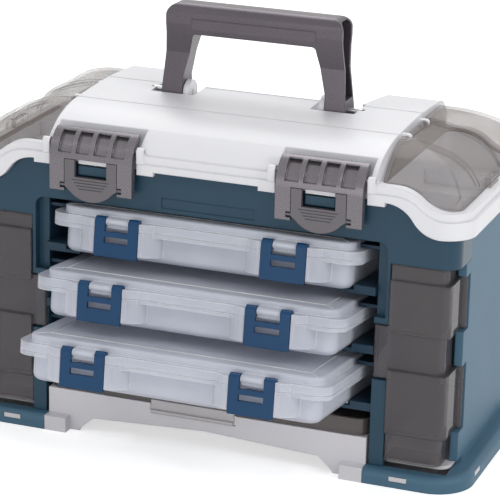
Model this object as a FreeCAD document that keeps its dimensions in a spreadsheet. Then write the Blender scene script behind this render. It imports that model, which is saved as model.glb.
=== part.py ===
import FreeCAD
import Part

import math
import os

import Sketcher

# Driving dimensions: millimetres, and degrees for angles.
# The case frame has x to the right, y back from the front face and z up from the floor.
SIZES = {
    # Gaps and overruns
    "cut_over": 2,
    "run_gap": 0.3,
    "snap_slack": 0.2,
    "bore_gap": 0.08,
    # Case walls and the parting line under the lid
    "wall": 3,
    "tower_wide": 57.5,
    "case_depth": 200,
    "case_round": 14,
    "end_rise": 6.5,
    "mid_rise": 32.5,
    "swoop_long": 48,
    "swoop_in": 14,
    "part_gap": 0.8,
    "shell_front": 40.5,
    # Rack bay in the front
    "bay_half": 150,
    "pillar_wide": 12.5,
    "bay_drop": 1.4,
    "frame_deep": 11,
    "recess_in": 3,
    "recess_fall": 23.4,
    "recess_rise": 2,
    "recess_deep": 8,
    "recess_round": 8,
    "header_high": 5,
    "panel_half": 42,
    "panel_rise": 1,
    "panel_tall": 9,
    "panel_deep": 1,
    # Foot skirt with its snap windows
    "skirt_high": 13.5,
    "skirt_side": 16,
    "skirt_front": 10,
    "skirt_back": 7,
    "skirt_round": 34,
    "skirt_soft": 6,
    "window_in": 8.5,
    "window_long": 16,
    "window_low": 5.5,
    "window_high": 4.5,
    "window_side_y": 28,
    "window_back_in": 50,
    # Base tray
    "base_room": 2.6,
    "base_top": 37,
    "deck_thick": 3,
    "arch_in": 9,
    "arch_slope": 13,
    "arch_low_high": 1.5,
    "arch_side_high": 13.4,
    "arch_mid_high": 18.6,
    "foot_wide": 20.4,
    "notch_left": 50,
    "notch_right": 29,
    "notch_drop": 9,
    "notch_deep": 8,
    "tower_floor": 17,
    "rim_wall": 2.4,
    # Racks
    "rack_front": 1,
    "rack_clear": 1,
    "ledge_thick": 3,
    "ledge_reach": 12,
    "ledge_rail_high": 4,
    "hold_rail_high": 3,
    "hold_rail_gap": 0.5,
    # Bulk tray over the bay
    "tray_lip": 3,
    # Bait doors, their posts and clips
    "door_lift": 2.5,
    "zone_lower_tall": 57,
    "zone_waist_tall": 33,
    "zone_upper_tall": 46,
    "zone_top_drop": 13.3,
    "door_top_drop": 26.7,
    "door_gap": 0.8,
    "door_narrow_in": 9,
    "door_wide_in": 4.5,
    "door_narrow_front": 1,
    "door_wide_front": 2,
    "door_narrow_back": 26,
    "door_thick": 2.5,
    "door_round": 8,
    "door_hinge_in": 4,
    "door_hinge_y": 37,
    "door_barrel": 3,
    "door_pin": 1.5,
    "door_pin_long": 3.5,
    "post_wide": 7,
    "post_front": 27,
    "post_gap": 1.3,
    "clip_below": 9,
    "clip_above": 4,
    "clip_end_gap": 0.8,
    "clip_notch_gap": 2,
    "clip_notch_deep": 6,
    "clip_hook": 2.5,
    "clip_hook_deep": 2,
    # Lid rim and crown
    "rim_side": 9,
    "rim_front": 7,
    "rim_back": 6,
    "rim_round": 26,
    "rim_step": 2.5,
    "rim_step_high": 7,
    "rim_mid_rise": 14,
    "rim_end_rise": 23,
    "rim_swoop_start_out": 7,
    "rim_swoop_end_out": 4,
    "lid_wall": 3,
    "crown_half": 147,
    "crown_front": 3,
    "crown_front_rise": 15,
    "crown_a_y": 18,
    "crown_a_rise": 30.5,
    "crown_b_y": 60.4,
    "crown_b_rise": 40.3,
    "crown_c_y": 127,
    "crown_c_rise": 42.7,
    "crown_tail_in": 17,
    "crown_d_rise": 40,
    "crown_back_in": 2,
    "crown_brow": 110,
    "crown_flat": 900,
    "crown_roll": 26,
    "groove_wide": 1.2,
    "groove_deep": 0.8,
    "lug_wide": 15,
    "lug_drop": 3.6,
    "lug_thick": 5,
    # Rear hinge of the lid
    "hinge_out": 6,
    "hinge_drop": 6,
    "hinge_x": 110,
    "hinge_barrel": 4.5,
    "hinge_pin": 1.5,
    "hinge_case_half": 10,
    "hinge_lid_long": 12,
    "hinge_slack": 0.4,
    # Handle and its seat in the lid
    "notch_room": 16,
    "notch_front_half": 91,
    "notch_back_half": 98,
    "notch_rise": 15,
    "pocket_in": 54,
    "pocket_out": 94,
    "pocket_front_room": 15,
    "pocket_rise": 26.5,
    "pivot_y": 114,
    "pivot_rise": 41,
    "ear_in": 60.5,
    "ear_out": 65.6,
    "ear_round": 11,
    "handle_pin": 2.5,
    "handle_end": 13,
    "leg_in": 66,
    "leg_out": 86,
    "leg_bend_rise": 14,
    "leg_mid_rise": 37,
    "leg_mid_fore": 9,
    "leg_mid_aft": 8,
    "grip_half": 81,
    "grip_step_rise": 55,
    "grip_in_half": 57,
    "grip_fore": 14,
    "grip_aft": 14,
    "handle_rise": 81,
    "handle_round": 11,
    "grip_round": 9,
    "handle_inner_round": 4,
    "channel_in": 70,
    "channel_wall": 3,
    "channel_rise": 10,
    "grip_panel_half": 57,
    "grip_panel_drop": 22,
    "grip_panel_tall": 10,
    "grip_panel_deep": 0.8,
    "foot_pad_drop": 8,
    "foot_pad_tall": 6,
    # Front latches
    "latch_in": 44.7,
    "latch_half": 38,
    "latch_front": 12.5,
    "latch_drop": 23,
    "latch_bend_rise": 5,
    "latch_bow": 27,
    "latch_top_y": 5,
    "latch_top_rise": 29,
    "latch_thick": 4,
    "latch_cheek_back": 3,
    "latch_cheek_foot": 7.5,
    "latch_pivot_y": 4.4,
    "latch_pivot_rise": 17,
    "latch_pin": 1.8,
    "latch_pin_long": 6,
    "seat_gap": 2.2,
    "seat_back": 2,
    "seat_step_rise": 7,
    "seat_step_y": 11.5,
    "seat_slope_y": 18,
    "seat_slope_rise": 15,
    "latch_ear": 6.5,
    "latch_ear_round": 3.6,
    "rib_slot": 12,
    "rib_deep": 3,
    "rib_pitch": 16.4,
    "rib_rise": 10.5,
    "rib_tall": 16.5,
    "catch_half": 13,
    "catch_gap": 0.5,
    "catch_tall": 8.1,
    "catch_drop": 0.6,
    "lid_lug_rise": 6,
    "paddle_half": 24,
    "paddle_gap": 0.5,
    "paddle_side_drop": 19,
    "paddle_arc_drop": 22,
    "paddle_arc_in": 4,
    "paddle_lip_drop": 31,
    "paddle_window_gap": 1.8,
    "paddle_window_drop": 10,
    "paddle_pivot_drop": 18,
    "paddle_pin": 1.5,
    "paddle_pin_long": 7,
    "paddle_notch": 4,
    "paddle_notch_high": 2.5,
    "grip_line_deep": 0.7,
    "grip_line_high": 0.8,
    "grip_line_pitch": 2.6,
    "grip_line_half": 17,
    "grip_line_step": 2,
    # End covers and the wells below them
    "cover_side_gap": 2.2,
    "cover_out_in": 2,
    "cover_front": 5,
    "cover_back_in": 6,
    "cover_gap": 0.5,
    "cover_round": 10,
    "cover_thick": 2.4,
    "cover_ledge": 3,
    "cover_zone_front": 62,
    "cover_zone_back": 126,
    "cover_drop": 3,
    "cover_top_rise": 39.5,
    "cover_brow_in": 30,
    "cover_brow_drop": 7.5,
    "cover_brow_bow": 120,
    "cover_side_rise": 5,
    "cover_side_bow": 44,
    "cover_brow_y": 70,
    "cover_nose_rise": 1,
    "cover_nose_bow": 80,
    "cover_tail_long": 24,
    "cover_tail_drop": 16.5,
    "cover_tail_bow": 34,
    "cover_barrel": 3,
    "cover_pin": 1.4,
    "cover_pin_long": 4,
    "cover_hinge_front": 72,
    "cover_hinge_back": 116,
    "cover_ear": 6,
    "cover_ear_gap": 0.4,
    "cover_tab_out": 4,
    "cover_tab_high": 8,
    "cover_tab_half": 12,
    "well_wall": 2.6,
    "well_rise": 6,
    "well_round": 8,
    "divider_thick": 1.8,
    "divider_tall": 13,
    "divider_gap": 0.2,
    "divider_step": 2,
    # Utility boxes in the rack
    "box_tilt": 7,
    "box_first_y": -17.4,
    "box_low_room": 37.9,
    "box_step_y": 34.75,
    "box_stack_gap": 5.75,
    "box_side_room": 10.3,
    "box_back_room": 21,
    "box_round": 14,
    "box_high": 41.5,
    "tub_in": 9.7,
    "tub_front": 9,
    "tub_back_in": 7,
    "tub_wall": 1.8,
    "tub_round": 12,
    "tub_soft": 6,
    "flange_drop": 18,
    "flange_thick": 3.5,
    "lid_seam": 0.3,
    "box_rim_drop": 7,
    "plateau_in": 8.2,
    "plateau_front": 5.5,
    "plateau_back_in": 6,
    "plateau_soft": 2,
    "box_line_in": 14,
    "box_line_wide": 1.2,
    "box_line_high": 0.5,
    "mid_wall_y": 90,
    "plate_gap": 0.3,
    "box_latch_in": 64.4,
    "box_latch_half": 19.8,
    "box_latch_low": 3,
    "box_latch_thick": 3.5,
    "box_pivot_y": 0.8,
    "box_pivot_drop": 8.5,
    "box_prong_round": 4.3,
    "box_prong_wide": 9,
    "box_prong_drop": 16.5,
    "box_pin": 1.4,
    "box_pin_long": 3,
    "box_barrel": 3.3,
    "box_slot_half": 11,
    "box_slot_drop": 10,
    "box_slot_high": 5.5,
    "box_nib_half": 8,
    "box_nib_back": 6.5,
    "box_nib_drop": 3,
    "box_nib_high": 2.6,
    "box_cheek_gap": 0.6,
    "box_cheek_flat": 4,
    "box_cheek_long": 18,
    "box_cheek_front": 4.5,
    "box_cheek_bow": 22,
    "box_cheek_low": 6,
    "box_notch_deep": 5,
    # Shallow drawer on the base tray
    "drawer_room": 2.8,
    "drawer_front": 1,
    "drawer_back_room": 22,
    "drawer_body_high": 11.5,
    "drawer_front_high": 15,
    "drawer_lip_deep": 14,
    "drawer_wall": 2.2,
    "drawer_round": 12,
    "pull_lift": 2,
    "pull_tall": 11,
    "pull_thick": 2.5,
    "pull_lip": 2.5,
    "pull_slack": 1,
}

# The slots between the ribs of a front latch, as shares of the slot pitch from its middle
RIB_PLACE_SHARES = (-1.5, -0.5, 0.5, 1.5)

doc = FreeCAD.newDocument("TackleCabinet")
sheet = doc.addObject("Spreadsheet::Sheet", "Sizes")
made = {}


class Size:
    """A length or angle that keeps its value beside the sheet expression that gives it."""

    def __init__(self, text, value):
        self.text = text
        self.value = value

    def __add__(self, other):
        other = as_size(other)
        return Size(f"({self.text} + {other.text})", self.value + other.value)

    def __sub__(self, other):
        other = as_size(other)
        return Size(f"({self.text} - {other.text})", self.value - other.value)

    def __mul__(self, other):
        other = as_size(other)
        return Size(f"({self.text} * {other.text})", self.value * other.value)

    def __truediv__(self, other):
        other = as_size(other)
        return Size(f"({self.text} / {other.text})", self.value / other.value)

    def __neg__(self):
        return Size(f"(-{self.text})", -self.value)

    def __radd__(self, other):
        return as_size(other) + self

    def __rsub__(self, other):
        return as_size(other) - self

    def __rmul__(self, other):
        return as_size(other) * self


def as_size(number):
    """Plain numbers join a sum of sizes as they are."""
    if isinstance(number, Size):
        return number
    return Size(str(number), number)


def sin_of(angle):
    return Size(f"sin({angle.text} * 1 deg)", math.sin(math.radians(angle.value)))


def cos_of(angle):
    return Size(f"cos({angle.text} * 1 deg)", math.cos(math.radians(angle.value)))


class S:
    """Gives every sheet cell as a Size under its alias."""


for row, (alias, number) in enumerate(SIZES.items(), start=1):
    sheet.set(f"A{row}", alias)
    sheet.set(f"B{row}", str(number))
    sheet.setAlias(f"B{row}", alias)
    setattr(S, alias, Size(f"Sizes.{alias}", number))
doc.recompute()

# Sizes that follow from a neighbour by a named step or clearance

# Half widths, from the rack bay outwards and inwards
S.box_half = S.bay_half - S.box_side_room
S.tub_half = S.box_half - S.tub_in
S.plateau_half = S.box_half - S.plateau_in
S.ledge_in = S.tub_half - S.ledge_reach
S.box_latch_x = S.box_half - S.box_latch_in
S.drawer_half = S.bay_half - S.drawer_room
S.base_half = S.bay_half - S.base_room
S.foot_inner = S.base_half - S.foot_wide
S.arch_low_half = S.foot_inner - S.arch_in
S.arch_top_half = S.arch_low_half - S.arch_slope
S.pillar_out = S.bay_half + S.pillar_wide
S.recess_half = S.pillar_out - S.recess_in
S.window_front_x = S.pillar_out + S.window_in
S.case_half = S.pillar_out + S.tower_wide
S.skirt_half = S.case_half + S.skirt_side
S.rim_half = S.case_half + S.rim_side
S.door_wide = S.case_half - S.door_wide_in
S.door_narrow = S.case_half - S.door_narrow_in
S.door_hinge_x = S.case_half - S.door_hinge_in
S.post_in = S.case_half - S.post_wide
S.swoop_end = S.case_half - S.swoop_in
S.swoop_start = S.swoop_end - S.swoop_long
S.rim_swoop_start = S.swoop_start + S.rim_swoop_start_out
S.rim_swoop_end = S.swoop_end + S.rim_swoop_end_out
S.cover_in = S.crown_half + S.cover_side_gap
S.cover_hinge_x = S.cover_in + S.cover_barrel
S.well_in = S.crown_half + S.lid_wall
S.cover_out = S.case_half - S.cover_out_in
S.cover_brow_x = S.cover_out - S.cover_brow_in
S.latch_x = S.crown_half - S.latch_in
S.seat_half = S.latch_half + S.seat_gap
S.paddle_window_half = S.catch_half + S.paddle_window_gap

# Depths, from the front of the case backwards
S.box_deep = S.case_depth - S.box_back_room
S.tub_back = S.box_deep - S.tub_back_in
S.plateau_back = S.box_deep - S.plateau_back_in
S.drawer_back = S.case_depth - S.drawer_back_room
S.window_side_back = S.case_depth - S.window_back_in
S.hinge_y = S.case_depth + S.hinge_out
S.crown_d_y = S.case_depth - S.crown_tail_in
S.cover_back = S.case_depth - S.cover_back_in
S.cover_tail_y = S.cover_back - S.cover_tail_long
S.divider_front = S.cover_zone_front
S.divider_back = S.cover_zone_back + S.divider_step
S.pocket_front = S.pivot_y - S.pocket_front_room
S.notch_y = S.pivot_y + S.notch_room
S.leg_mid_front = S.pivot_y - S.leg_mid_fore
S.leg_mid_back = S.pivot_y + S.leg_mid_aft
S.grip_front = S.pivot_y - S.grip_fore
S.grip_back = S.pivot_y + S.grip_aft
S.catch_front = S.latch_front - S.latch_thick - S.catch_gap

# Heights, from the base upwards
S.flange_low = S.box_high - S.flange_drop
S.flange_high = S.flange_low + S.flange_thick
S.lid_rim_high = S.box_high - S.box_rim_drop
S.box_pivot_z = S.box_high - S.box_pivot_drop
S.box_prong_low = S.box_high - S.box_prong_drop
S.box_slot_low = S.box_prong_low - S.box_slot_drop
S.box_nib_low = S.flange_low - S.box_nib_drop
S.box_step_z = S.box_high + S.box_stack_gap
S.box_first_z = S.base_top + S.box_low_room + 2 * S.box_step_z
S.bay_top = S.box_first_z + S.box_high - S.bay_drop
S.recess_top = S.bay_top + S.recess_rise
S.recess_low = S.box_first_z - S.recess_fall
S.header_top = S.bay_top + S.header_high
S.panel_low = S.header_top + S.panel_rise
S.panel_high = S.panel_low + S.panel_tall
S.end_height = S.header_top + S.end_rise
S.mid_height = S.header_top + S.mid_rise
S.door_top = S.end_height - S.door_top_drop
S.zone_top = S.door_top - S.zone_top_drop
S.zone_high = S.zone_top - S.zone_upper_tall
S.zone_mid = S.zone_high - S.zone_waist_tall
S.zone_low = S.zone_mid - S.zone_lower_tall
S.door_low = S.tower_floor + S.door_lift
S.clip_low = S.zone_mid - S.clip_below
S.clip_high = S.zone_high + S.clip_above
S.rim_mid_high = S.mid_height + S.rim_mid_rise
S.rim_end_high = S.end_height + S.rim_end_rise
S.crown_front_high = S.mid_height + S.crown_front_rise
S.crown_a_high = S.mid_height + S.crown_a_rise
S.crown_b_high = S.mid_height + S.crown_b_rise
S.crown_c_high = S.mid_height + S.crown_c_rise
S.crown_d_high = S.mid_height + S.crown_d_rise
S.hinge_z = S.mid_height - S.hinge_drop
S.notch_floor = S.mid_height + S.notch_rise
S.pocket_floor = S.mid_height + S.pocket_rise
S.pivot_z = S.mid_height + S.pivot_rise
S.leg_bend_z = S.pivot_z + S.leg_bend_rise
S.leg_mid_z = S.pivot_z + S.leg_mid_rise
S.grip_step_z = S.pivot_z + S.grip_step_rise
S.handle_top = S.pivot_z + S.handle_rise
S.channel_low = S.pivot_z + S.channel_rise
S.grip_panel_low = S.handle_top - S.grip_panel_drop
S.grip_panel_high = S.grip_panel_low + S.grip_panel_tall
S.foot_pad_low = S.pivot_z - S.foot_pad_drop
S.foot_pad_high = S.foot_pad_low + S.foot_pad_tall
S.latch_low = S.mid_height - S.latch_drop
S.latch_bend = S.mid_height + S.latch_bend_rise
S.latch_top_z = S.mid_height + S.latch_top_rise
S.latch_pivot_z = S.mid_height + S.latch_pivot_rise
S.seat_step_z = S.mid_height + S.seat_step_rise
S.seat_slope_z = S.mid_height + S.seat_slope_rise
S.rib_low = S.mid_height + S.rib_rise
S.rib_high = S.rib_low + S.rib_tall
S.catch_high = S.mid_height - S.catch_drop
S.catch_low = S.catch_high - S.catch_tall
S.lid_lug_high = S.mid_height + S.lid_lug_rise
S.paddle_top = S.latch_bend
S.paddle_side_low = S.mid_height - S.paddle_side_drop
S.paddle_arc_low = S.mid_height - S.paddle_arc_drop
S.paddle_lip = S.mid_height - S.paddle_lip_drop
S.paddle_window_low = S.mid_height - S.paddle_window_drop
S.paddle_pivot_z = S.mid_height - S.paddle_pivot_drop
S.cover_top = S.mid_height + S.cover_top_rise
S.cover_brow_z = S.cover_top - S.cover_brow_drop
S.cover_side_z = S.mid_height + S.cover_side_rise
S.cover_nose_z = S.mid_height + S.cover_nose_rise
S.cover_tail_z = S.cover_top - S.cover_tail_drop
S.cover_hinge_z = S.cover_top - S.cover_barrel
S.well_floor = S.end_height + S.well_rise
S.divider_top = S.well_floor + S.divider_tall
S.notch_low = S.base_top - S.notch_drop
S.pull_low = S.notch_low + S.pull_lift
S.pull_high = S.pull_low + S.pull_tall


# Building blocks: plain solids whose sizes are bound to the sheet

def bind(item, prop, size):
    item.setExpression(prop, as_size(size).text)


def span(side, low, high):
    """The same stretch of x on the right (1) or the left (-1) of the case."""
    return (as_size(low), as_size(high)) if side > 0 else (-as_size(high), -as_size(low))


def block(x0, x1, y0, y1, z0, z1):
    item = doc.addObject("Part::Box", "block")
    for prop, low, high in (("Length", x0, x1), ("Width", y0, y1), ("Height", z0, z1)):
        bind(item, prop, as_size(high) - low)
    for prop, low in (("x", x0), ("y", y0), ("z", z0)):
        bind(item, f"Placement.Base.{prop}", low)
    return item


AXIS_TURNS = {
    "x": FreeCAD.Rotation(FreeCAD.Vector(0, 1, 0), 90),
    "y": FreeCAD.Rotation(FreeCAD.Vector(1, 0, 0), -90),
    "z": FreeCAD.Rotation(),
}


def rod(axis, x, y, z, radius, length):
    """Cylinder that starts at a point and runs along one axis."""
    item = doc.addObject("Part::Cylinder", "rod")
    item.Placement = FreeCAD.Placement(FreeCAD.Vector(), AXIS_TURNS[axis])
    bind(item, "Radius", radius)
    bind(item, "Height", length)
    for prop, low in (("x", x), ("y", y), ("z", z)):
        bind(item, f"Placement.Base.{prop}", low)
    return item


def fuse(*parts):
    if len(parts) == 1:
        return parts[0]
    item = doc.addObject("Part::MultiFuse", "fuse")
    item.Shapes = list(parts)
    item.Refine = True
    return item


def cut(base, *tools):
    item = doc.addObject("Part::Cut", "cut")
    item.Base = base
    item.Tool = fuse(*tools)
    return item


def common(*parts):
    item = doc.addObject("Part::MultiCommon", "common")
    item.Shapes = list(parts)
    return item


def group(*parts):
    item = doc.addObject("Part::Compound", "group")
    item.Links = list(parts)
    return item


def mirror(part):
    """The same piece on the other side of the middle plane."""
    item = doc.addObject("Part::Mirroring", "mirror")
    item.Source = part
    item.Normal = FreeCAD.Vector(1, 0, 0)
    return item


def outline(sketch, points):
    """Closed outline with every corner pinned to the sheet.

    A point is (across, up) or (across, up, radius). The radius belongs to the arc that leaves the
    point, and is positive where that arc runs counter-clockwise.
    """
    corners = [[as_size(number) for number in point] for point in points]
    ends = []
    for here, there in zip(corners, corners[1:] + corners[:1]):
        start = FreeCAD.Vector(here[0].value, here[1].value, 0)
        stop = FreeCAD.Vector(there[0].value, there[1].value, 0)
        if len(here) == 2:
            index = sketch.addGeometry(Part.LineSegment(start, stop), False)
            ends.append((index, 1, 2))
            continue
        turn = 1 if here[2].value > 0 else -1
        radius = abs(here[2].value)
        chord = stop - start
        lift = math.sqrt(max(radius * radius - chord.Length ** 2 / 4, 0))
        centre = (start + stop) / 2 + FreeCAD.Vector(-chord.y, chord.x, 0) * (turn * lift / chord.Length)
        angles = [math.atan2(end.y - centre.y, end.x - centre.x) for end in (start, stop)]
        if turn < 0:
            angles.reverse()
        circle = Part.Circle(centre, FreeCAD.Vector(0, 0, 1), radius)
        index = sketch.addGeometry(Part.ArcOfCircle(circle, angles[0], angles[1]), False)
        ends.append((index, 1, 2) if turn > 0 else (index, 2, 1))
        size = here[2] if turn > 0 else -here[2]
        spot = sketch.addConstraint(Sketcher.Constraint("Radius", index, radius))
        sketch.setExpression(f"Constraints[{spot}]", size.text)
    for (index, _, last), (after, begin, _) in zip(ends, ends[1:] + ends[:1]):
        sketch.addConstraint(Sketcher.Constraint("Coincident", index, last, after, begin))
    for (index, first, _), corner in zip(ends, corners):
        for kind, size in (("DistanceX", corner[0]), ("DistanceY", corner[1])):
            pin = Sketcher.Constraint(kind, -1, 1, index, first, size.value)
            spot = sketch.addConstraint(pin)
            sketch.setExpression(f"Constraints[{spot}]", size.text)


def prism(plane, points, low, high):
    """Body padded from an outline on one origin plane, from low to high across that plane."""
    body = doc.addObject("PartDesign::Body", "prism")
    sketch = body.newObject("Sketcher::SketchObject", "outline")
    base = [item for item in body.Origin.OriginFeatures if item.Role == f"{plane}_Plane"][0]
    sketch.AttachmentSupport = [(base, "")]
    sketch.MapMode = "FlatFace"
    outline(sketch, points)
    # The XZ plane looks forward, so its pads grow from the high side
    start = -as_size(high) if plane == "XZ" else as_size(low)
    bind(sketch, "AttachmentOffset.Base.z", start)
    pad = body.newObject("PartDesign::Pad", "pad")
    pad.Profile = sketch
    bind(pad, "Length", as_size(high) - low)
    return body


def soften(body, radius, chosen):
    """Rounds the edges of a body that the test picks out."""
    doc.recompute()
    tip = body.Tip
    names = [f"Edge{place}" for place, edge in enumerate(tip.Shape.Edges, start=1) if chosen(edge)]
    fillet = body.newObject("PartDesign::Fillet", "fillet")
    fillet.Base = (tip, names)
    bind(fillet, "Radius", radius)
    return body


def at_bottom(body):
    """Picks the edges that lie in the lowest plane of a body."""
    doc.recompute()
    low = body.Tip.Shape.BoundBox.ZMin
    return lambda edge: math.isclose(edge.BoundBox.ZMax, low, abs_tol=1e-6)


def at_top(body):
    """Picks the edges that lie in the highest plane of a body."""
    doc.recompute()
    high = body.Tip.Shape.BoundBox.ZMax
    return lambda edge: math.isclose(edge.BoundBox.ZMin, high, abs_tol=1e-6)


def rounded(x0, x1, y0, y1, z0, z1, front, back=None):
    """Upright block with rounded corners in plan; front and back are the corner radii."""
    back = front if back is None else back
    points = [(x0 + front, y0), (x1 - front, y0, front), (x1, y0 + front), (x1, y1 - back, back),
              (x1 - back, y1), (x0 + back, y1, back), (x0, y1 - back), (x0, y0 + front, front)]
    return prism("XY", points, z0, z1)


# The origin lies in the middle of the whole outline, so every piece moves by the same shift
BOX_NOSE = (S.box_first_y - 2 * S.box_step_y
            - (S.box_pivot_y + S.box_prong_round) * cos_of(S.box_tilt)
            + S.box_latch_low * sin_of(S.box_tilt))
SHIFT = -(S.hinge_y + S.hinge_barrel + BOX_NOSE) / 2


def keep(part, label, y=SHIFT):
    """Names a finished sub-part and puts it in its place."""
    part.Label = label
    bind(part, "Placement.Base.y", y)
    made[label] = part


def keep_pair(part, name):
    """Keeps a right-hand piece and its mirror image on the left."""
    keep(mirror(part), f"left_{name}")
    keep(group(part), f"right_{name}")


# Curves shared by the case and the lid

def swoop_line(start_x, high, end_x, low):
    """A line that runs level, drops in an S-curve of two equal arcs to each side and levels out."""
    run = end_x - start_x
    drop = high - low
    radius = (run * run + drop * drop) / (4 * drop)
    middle_x = (start_x + end_x) / 2
    middle_z = (high + low) / 2
    return [(-end_x, low, radius), (-middle_x, middle_z, -radius), (-start_x, high),
            (start_x, high, -radius), (middle_x, middle_z, radius), (end_x, low)]


def lowered(line_sizes, drop):
    """The same swoop line at a lower height."""
    start_x, high, end_x, low = line_sizes
    return swoop_line(start_x, high - drop, end_x, low - drop)


def backwards(line):
    """The same line from right to left."""
    points = []
    for place in reversed(range(len(line))):
        x, z = line[place][:2]
        curved = place > 0 and len(line[place - 1]) > 2
        points.append((x, z, -line[place - 1][2]) if curved else (x, z))
    return points


def above(line, top, front, back):
    """Everything above a swoop line."""
    half = S.skirt_half + S.cut_over
    ends = [(half, line[-1][1]), (half, top), (-half, top), (-half, line[0][1])]
    return prism("XZ", line + ends, front, back)


def below(line, floor, front, back):
    """Everything below a swoop line."""
    half = S.skirt_half + S.cut_over
    ends = [(-half, line[0][1]), (-half, floor), (half, floor), (half, line[-1][1])]
    return prism("XZ", backwards(line) + ends, front, back)


def between(low_line, high_line, front, back):
    """Everything between two swoop lines."""
    half = S.skirt_half + S.cut_over
    points = [(-half, low_line[0][1])] + low_line + [(half, low_line[-1][1]), (half, high_line[-1][1])]
    return prism("XZ", points + backwards(high_line) + [(-half, high_line[0][1])], front, back)


PARTING_SIZES = (S.swoop_start, S.mid_height, S.swoop_end, S.end_height)
RIM_SIZES = (S.rim_swoop_start, S.rim_mid_high, S.rim_swoop_end, S.rim_end_high)
PARTING = swoop_line(*PARTING_SIZES)
LID_EDGE = lowered(PARTING_SIZES, -S.part_gap)
RIM_TOP = swoop_line(*RIM_SIZES)
RIM_STEP = lowered(RIM_SIZES, S.rim_step_high)
LEDGE = lowered(RIM_SIZES, S.cover_ledge)
COVER_EDGE = lowered(RIM_SIZES, S.cover_ledge - S.run_gap)
TOP_OUT = S.crown_c_high + S.handle_end + S.cut_over
BACK_OUT = S.hinge_y + S.hinge_barrel + S.cut_over
DOOR_IN = S.pillar_out + S.door_gap
NONE = as_size(0)


# Case

def front_frame():
    """Front moulding: a band that wraps the corners, two pillars, the bay surround and catches."""
    half = S.case_half
    inner = half - S.wall
    curve = S.case_round
    inner_curve = curve - S.wall
    back = S.shell_front
    band = prism("XY", [
        (-half, back), (-half, curve, curve), (-half + curve, 0), (half - curve, 0, curve),
        (half, curve), (half, back), (inner, back), (inner, curve, -inner_curve),
        (inner - inner_curve, S.wall), (-inner + inner_curve, S.wall, -inner_curve),
        (-inner, curve), (-inner, back)], S.door_top + S.run_gap, S.mid_height + S.cut_over)
    high = S.mid_height + 2 * S.cut_over
    band = cut(band, above(PARTING, high, -S.cut_over, back + S.cut_over))
    header = block(-S.pillar_out, S.pillar_out, 0, S.frame_deep, S.bay_top, S.header_top)
    pieces = [header]
    notches = []
    for side in (1, -1):
        pieces.append(block(*span(side, S.bay_half, S.pillar_out), 0, S.frame_deep,
                            S.skirt_high, S.header_top))
        middle = side * S.latch_x
        pieces.append(block(middle - S.catch_half, middle + S.catch_half, -S.catch_front, S.wall,
                            S.catch_low, S.catch_high))
        notches.append(block(*span(side, S.bay_half - S.cut_over, S.pillar_out + S.cut_over),
                             -S.cut_over, S.clip_notch_deep, S.clip_low - S.clip_notch_gap,
                             S.clip_high + S.clip_notch_gap))
    bay = block(-S.bay_half, S.bay_half, -S.cut_over, S.wall + S.cut_over,
                S.door_top - S.cut_over, S.bay_top)
    turn = S.recess_round
    recess = prism("XZ", [
        (-S.recess_half, S.recess_low), (S.recess_half, S.recess_low),
        (S.recess_half, S.recess_top - turn, turn), (S.recess_half - turn, S.recess_top),
        (-S.recess_half + turn, S.recess_top, turn), (-S.recess_half, S.recess_top - turn)],
        -S.cut_over, S.recess_deep)
    panel = block(-S.panel_half, S.panel_half, -S.cut_over, S.panel_deep, S.panel_low, S.panel_high)
    keep(cut(fuse(band, *pieces), bay, recess, panel, *notches), "front_frame")


def snap_windows(outer, inner, slack):
    """Blocks in the skirt's band at each snap window, between two depths behind its face."""
    low = S.window_low + slack
    top = S.window_low + S.window_high - slack
    blocks = []
    for side in (1, -1):
        sideways = span(side, S.window_front_x + slack, S.window_front_x + S.window_long - slack)
        blocks.append(block(*sideways, -S.skirt_front + outer, -S.skirt_front + inner, low, top))
        sideways = span(side, S.skirt_half - inner, S.skirt_half - outer)
        for start in (S.window_side_y, S.window_side_back):
            blocks.append(block(*sideways, start + slack, start + S.window_long - slack, low, top))
    return blocks


def skirt():
    """Foot flange: an outer band with a soft top, open below, with windows for the base's tabs."""
    half = S.skirt_half
    back = S.case_depth + S.skirt_back
    skin = S.wall
    over = S.cut_over
    outer = rounded(-half, half, -S.skirt_front, back, 0, S.skirt_high, S.skirt_round)
    soften(outer, S.skirt_soft, at_top(outer))
    hollow = rounded(-half + skin, half - skin, -S.skirt_front + skin, back - skin,
                     -over, S.skirt_high - skin, S.skirt_round - skin)
    core = block(-S.case_half + skin, S.case_half - skin, skin, S.case_depth - skin,
                 0, S.skirt_high + over)
    mouth = block(-S.base_half - S.run_gap, S.base_half + S.run_gap, -S.skirt_front - over,
                  skin + over, -over, S.skirt_high + over)
    return cut(outer, hollow, core, mouth, *snap_windows(-over, skin + over, NONE))


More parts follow.
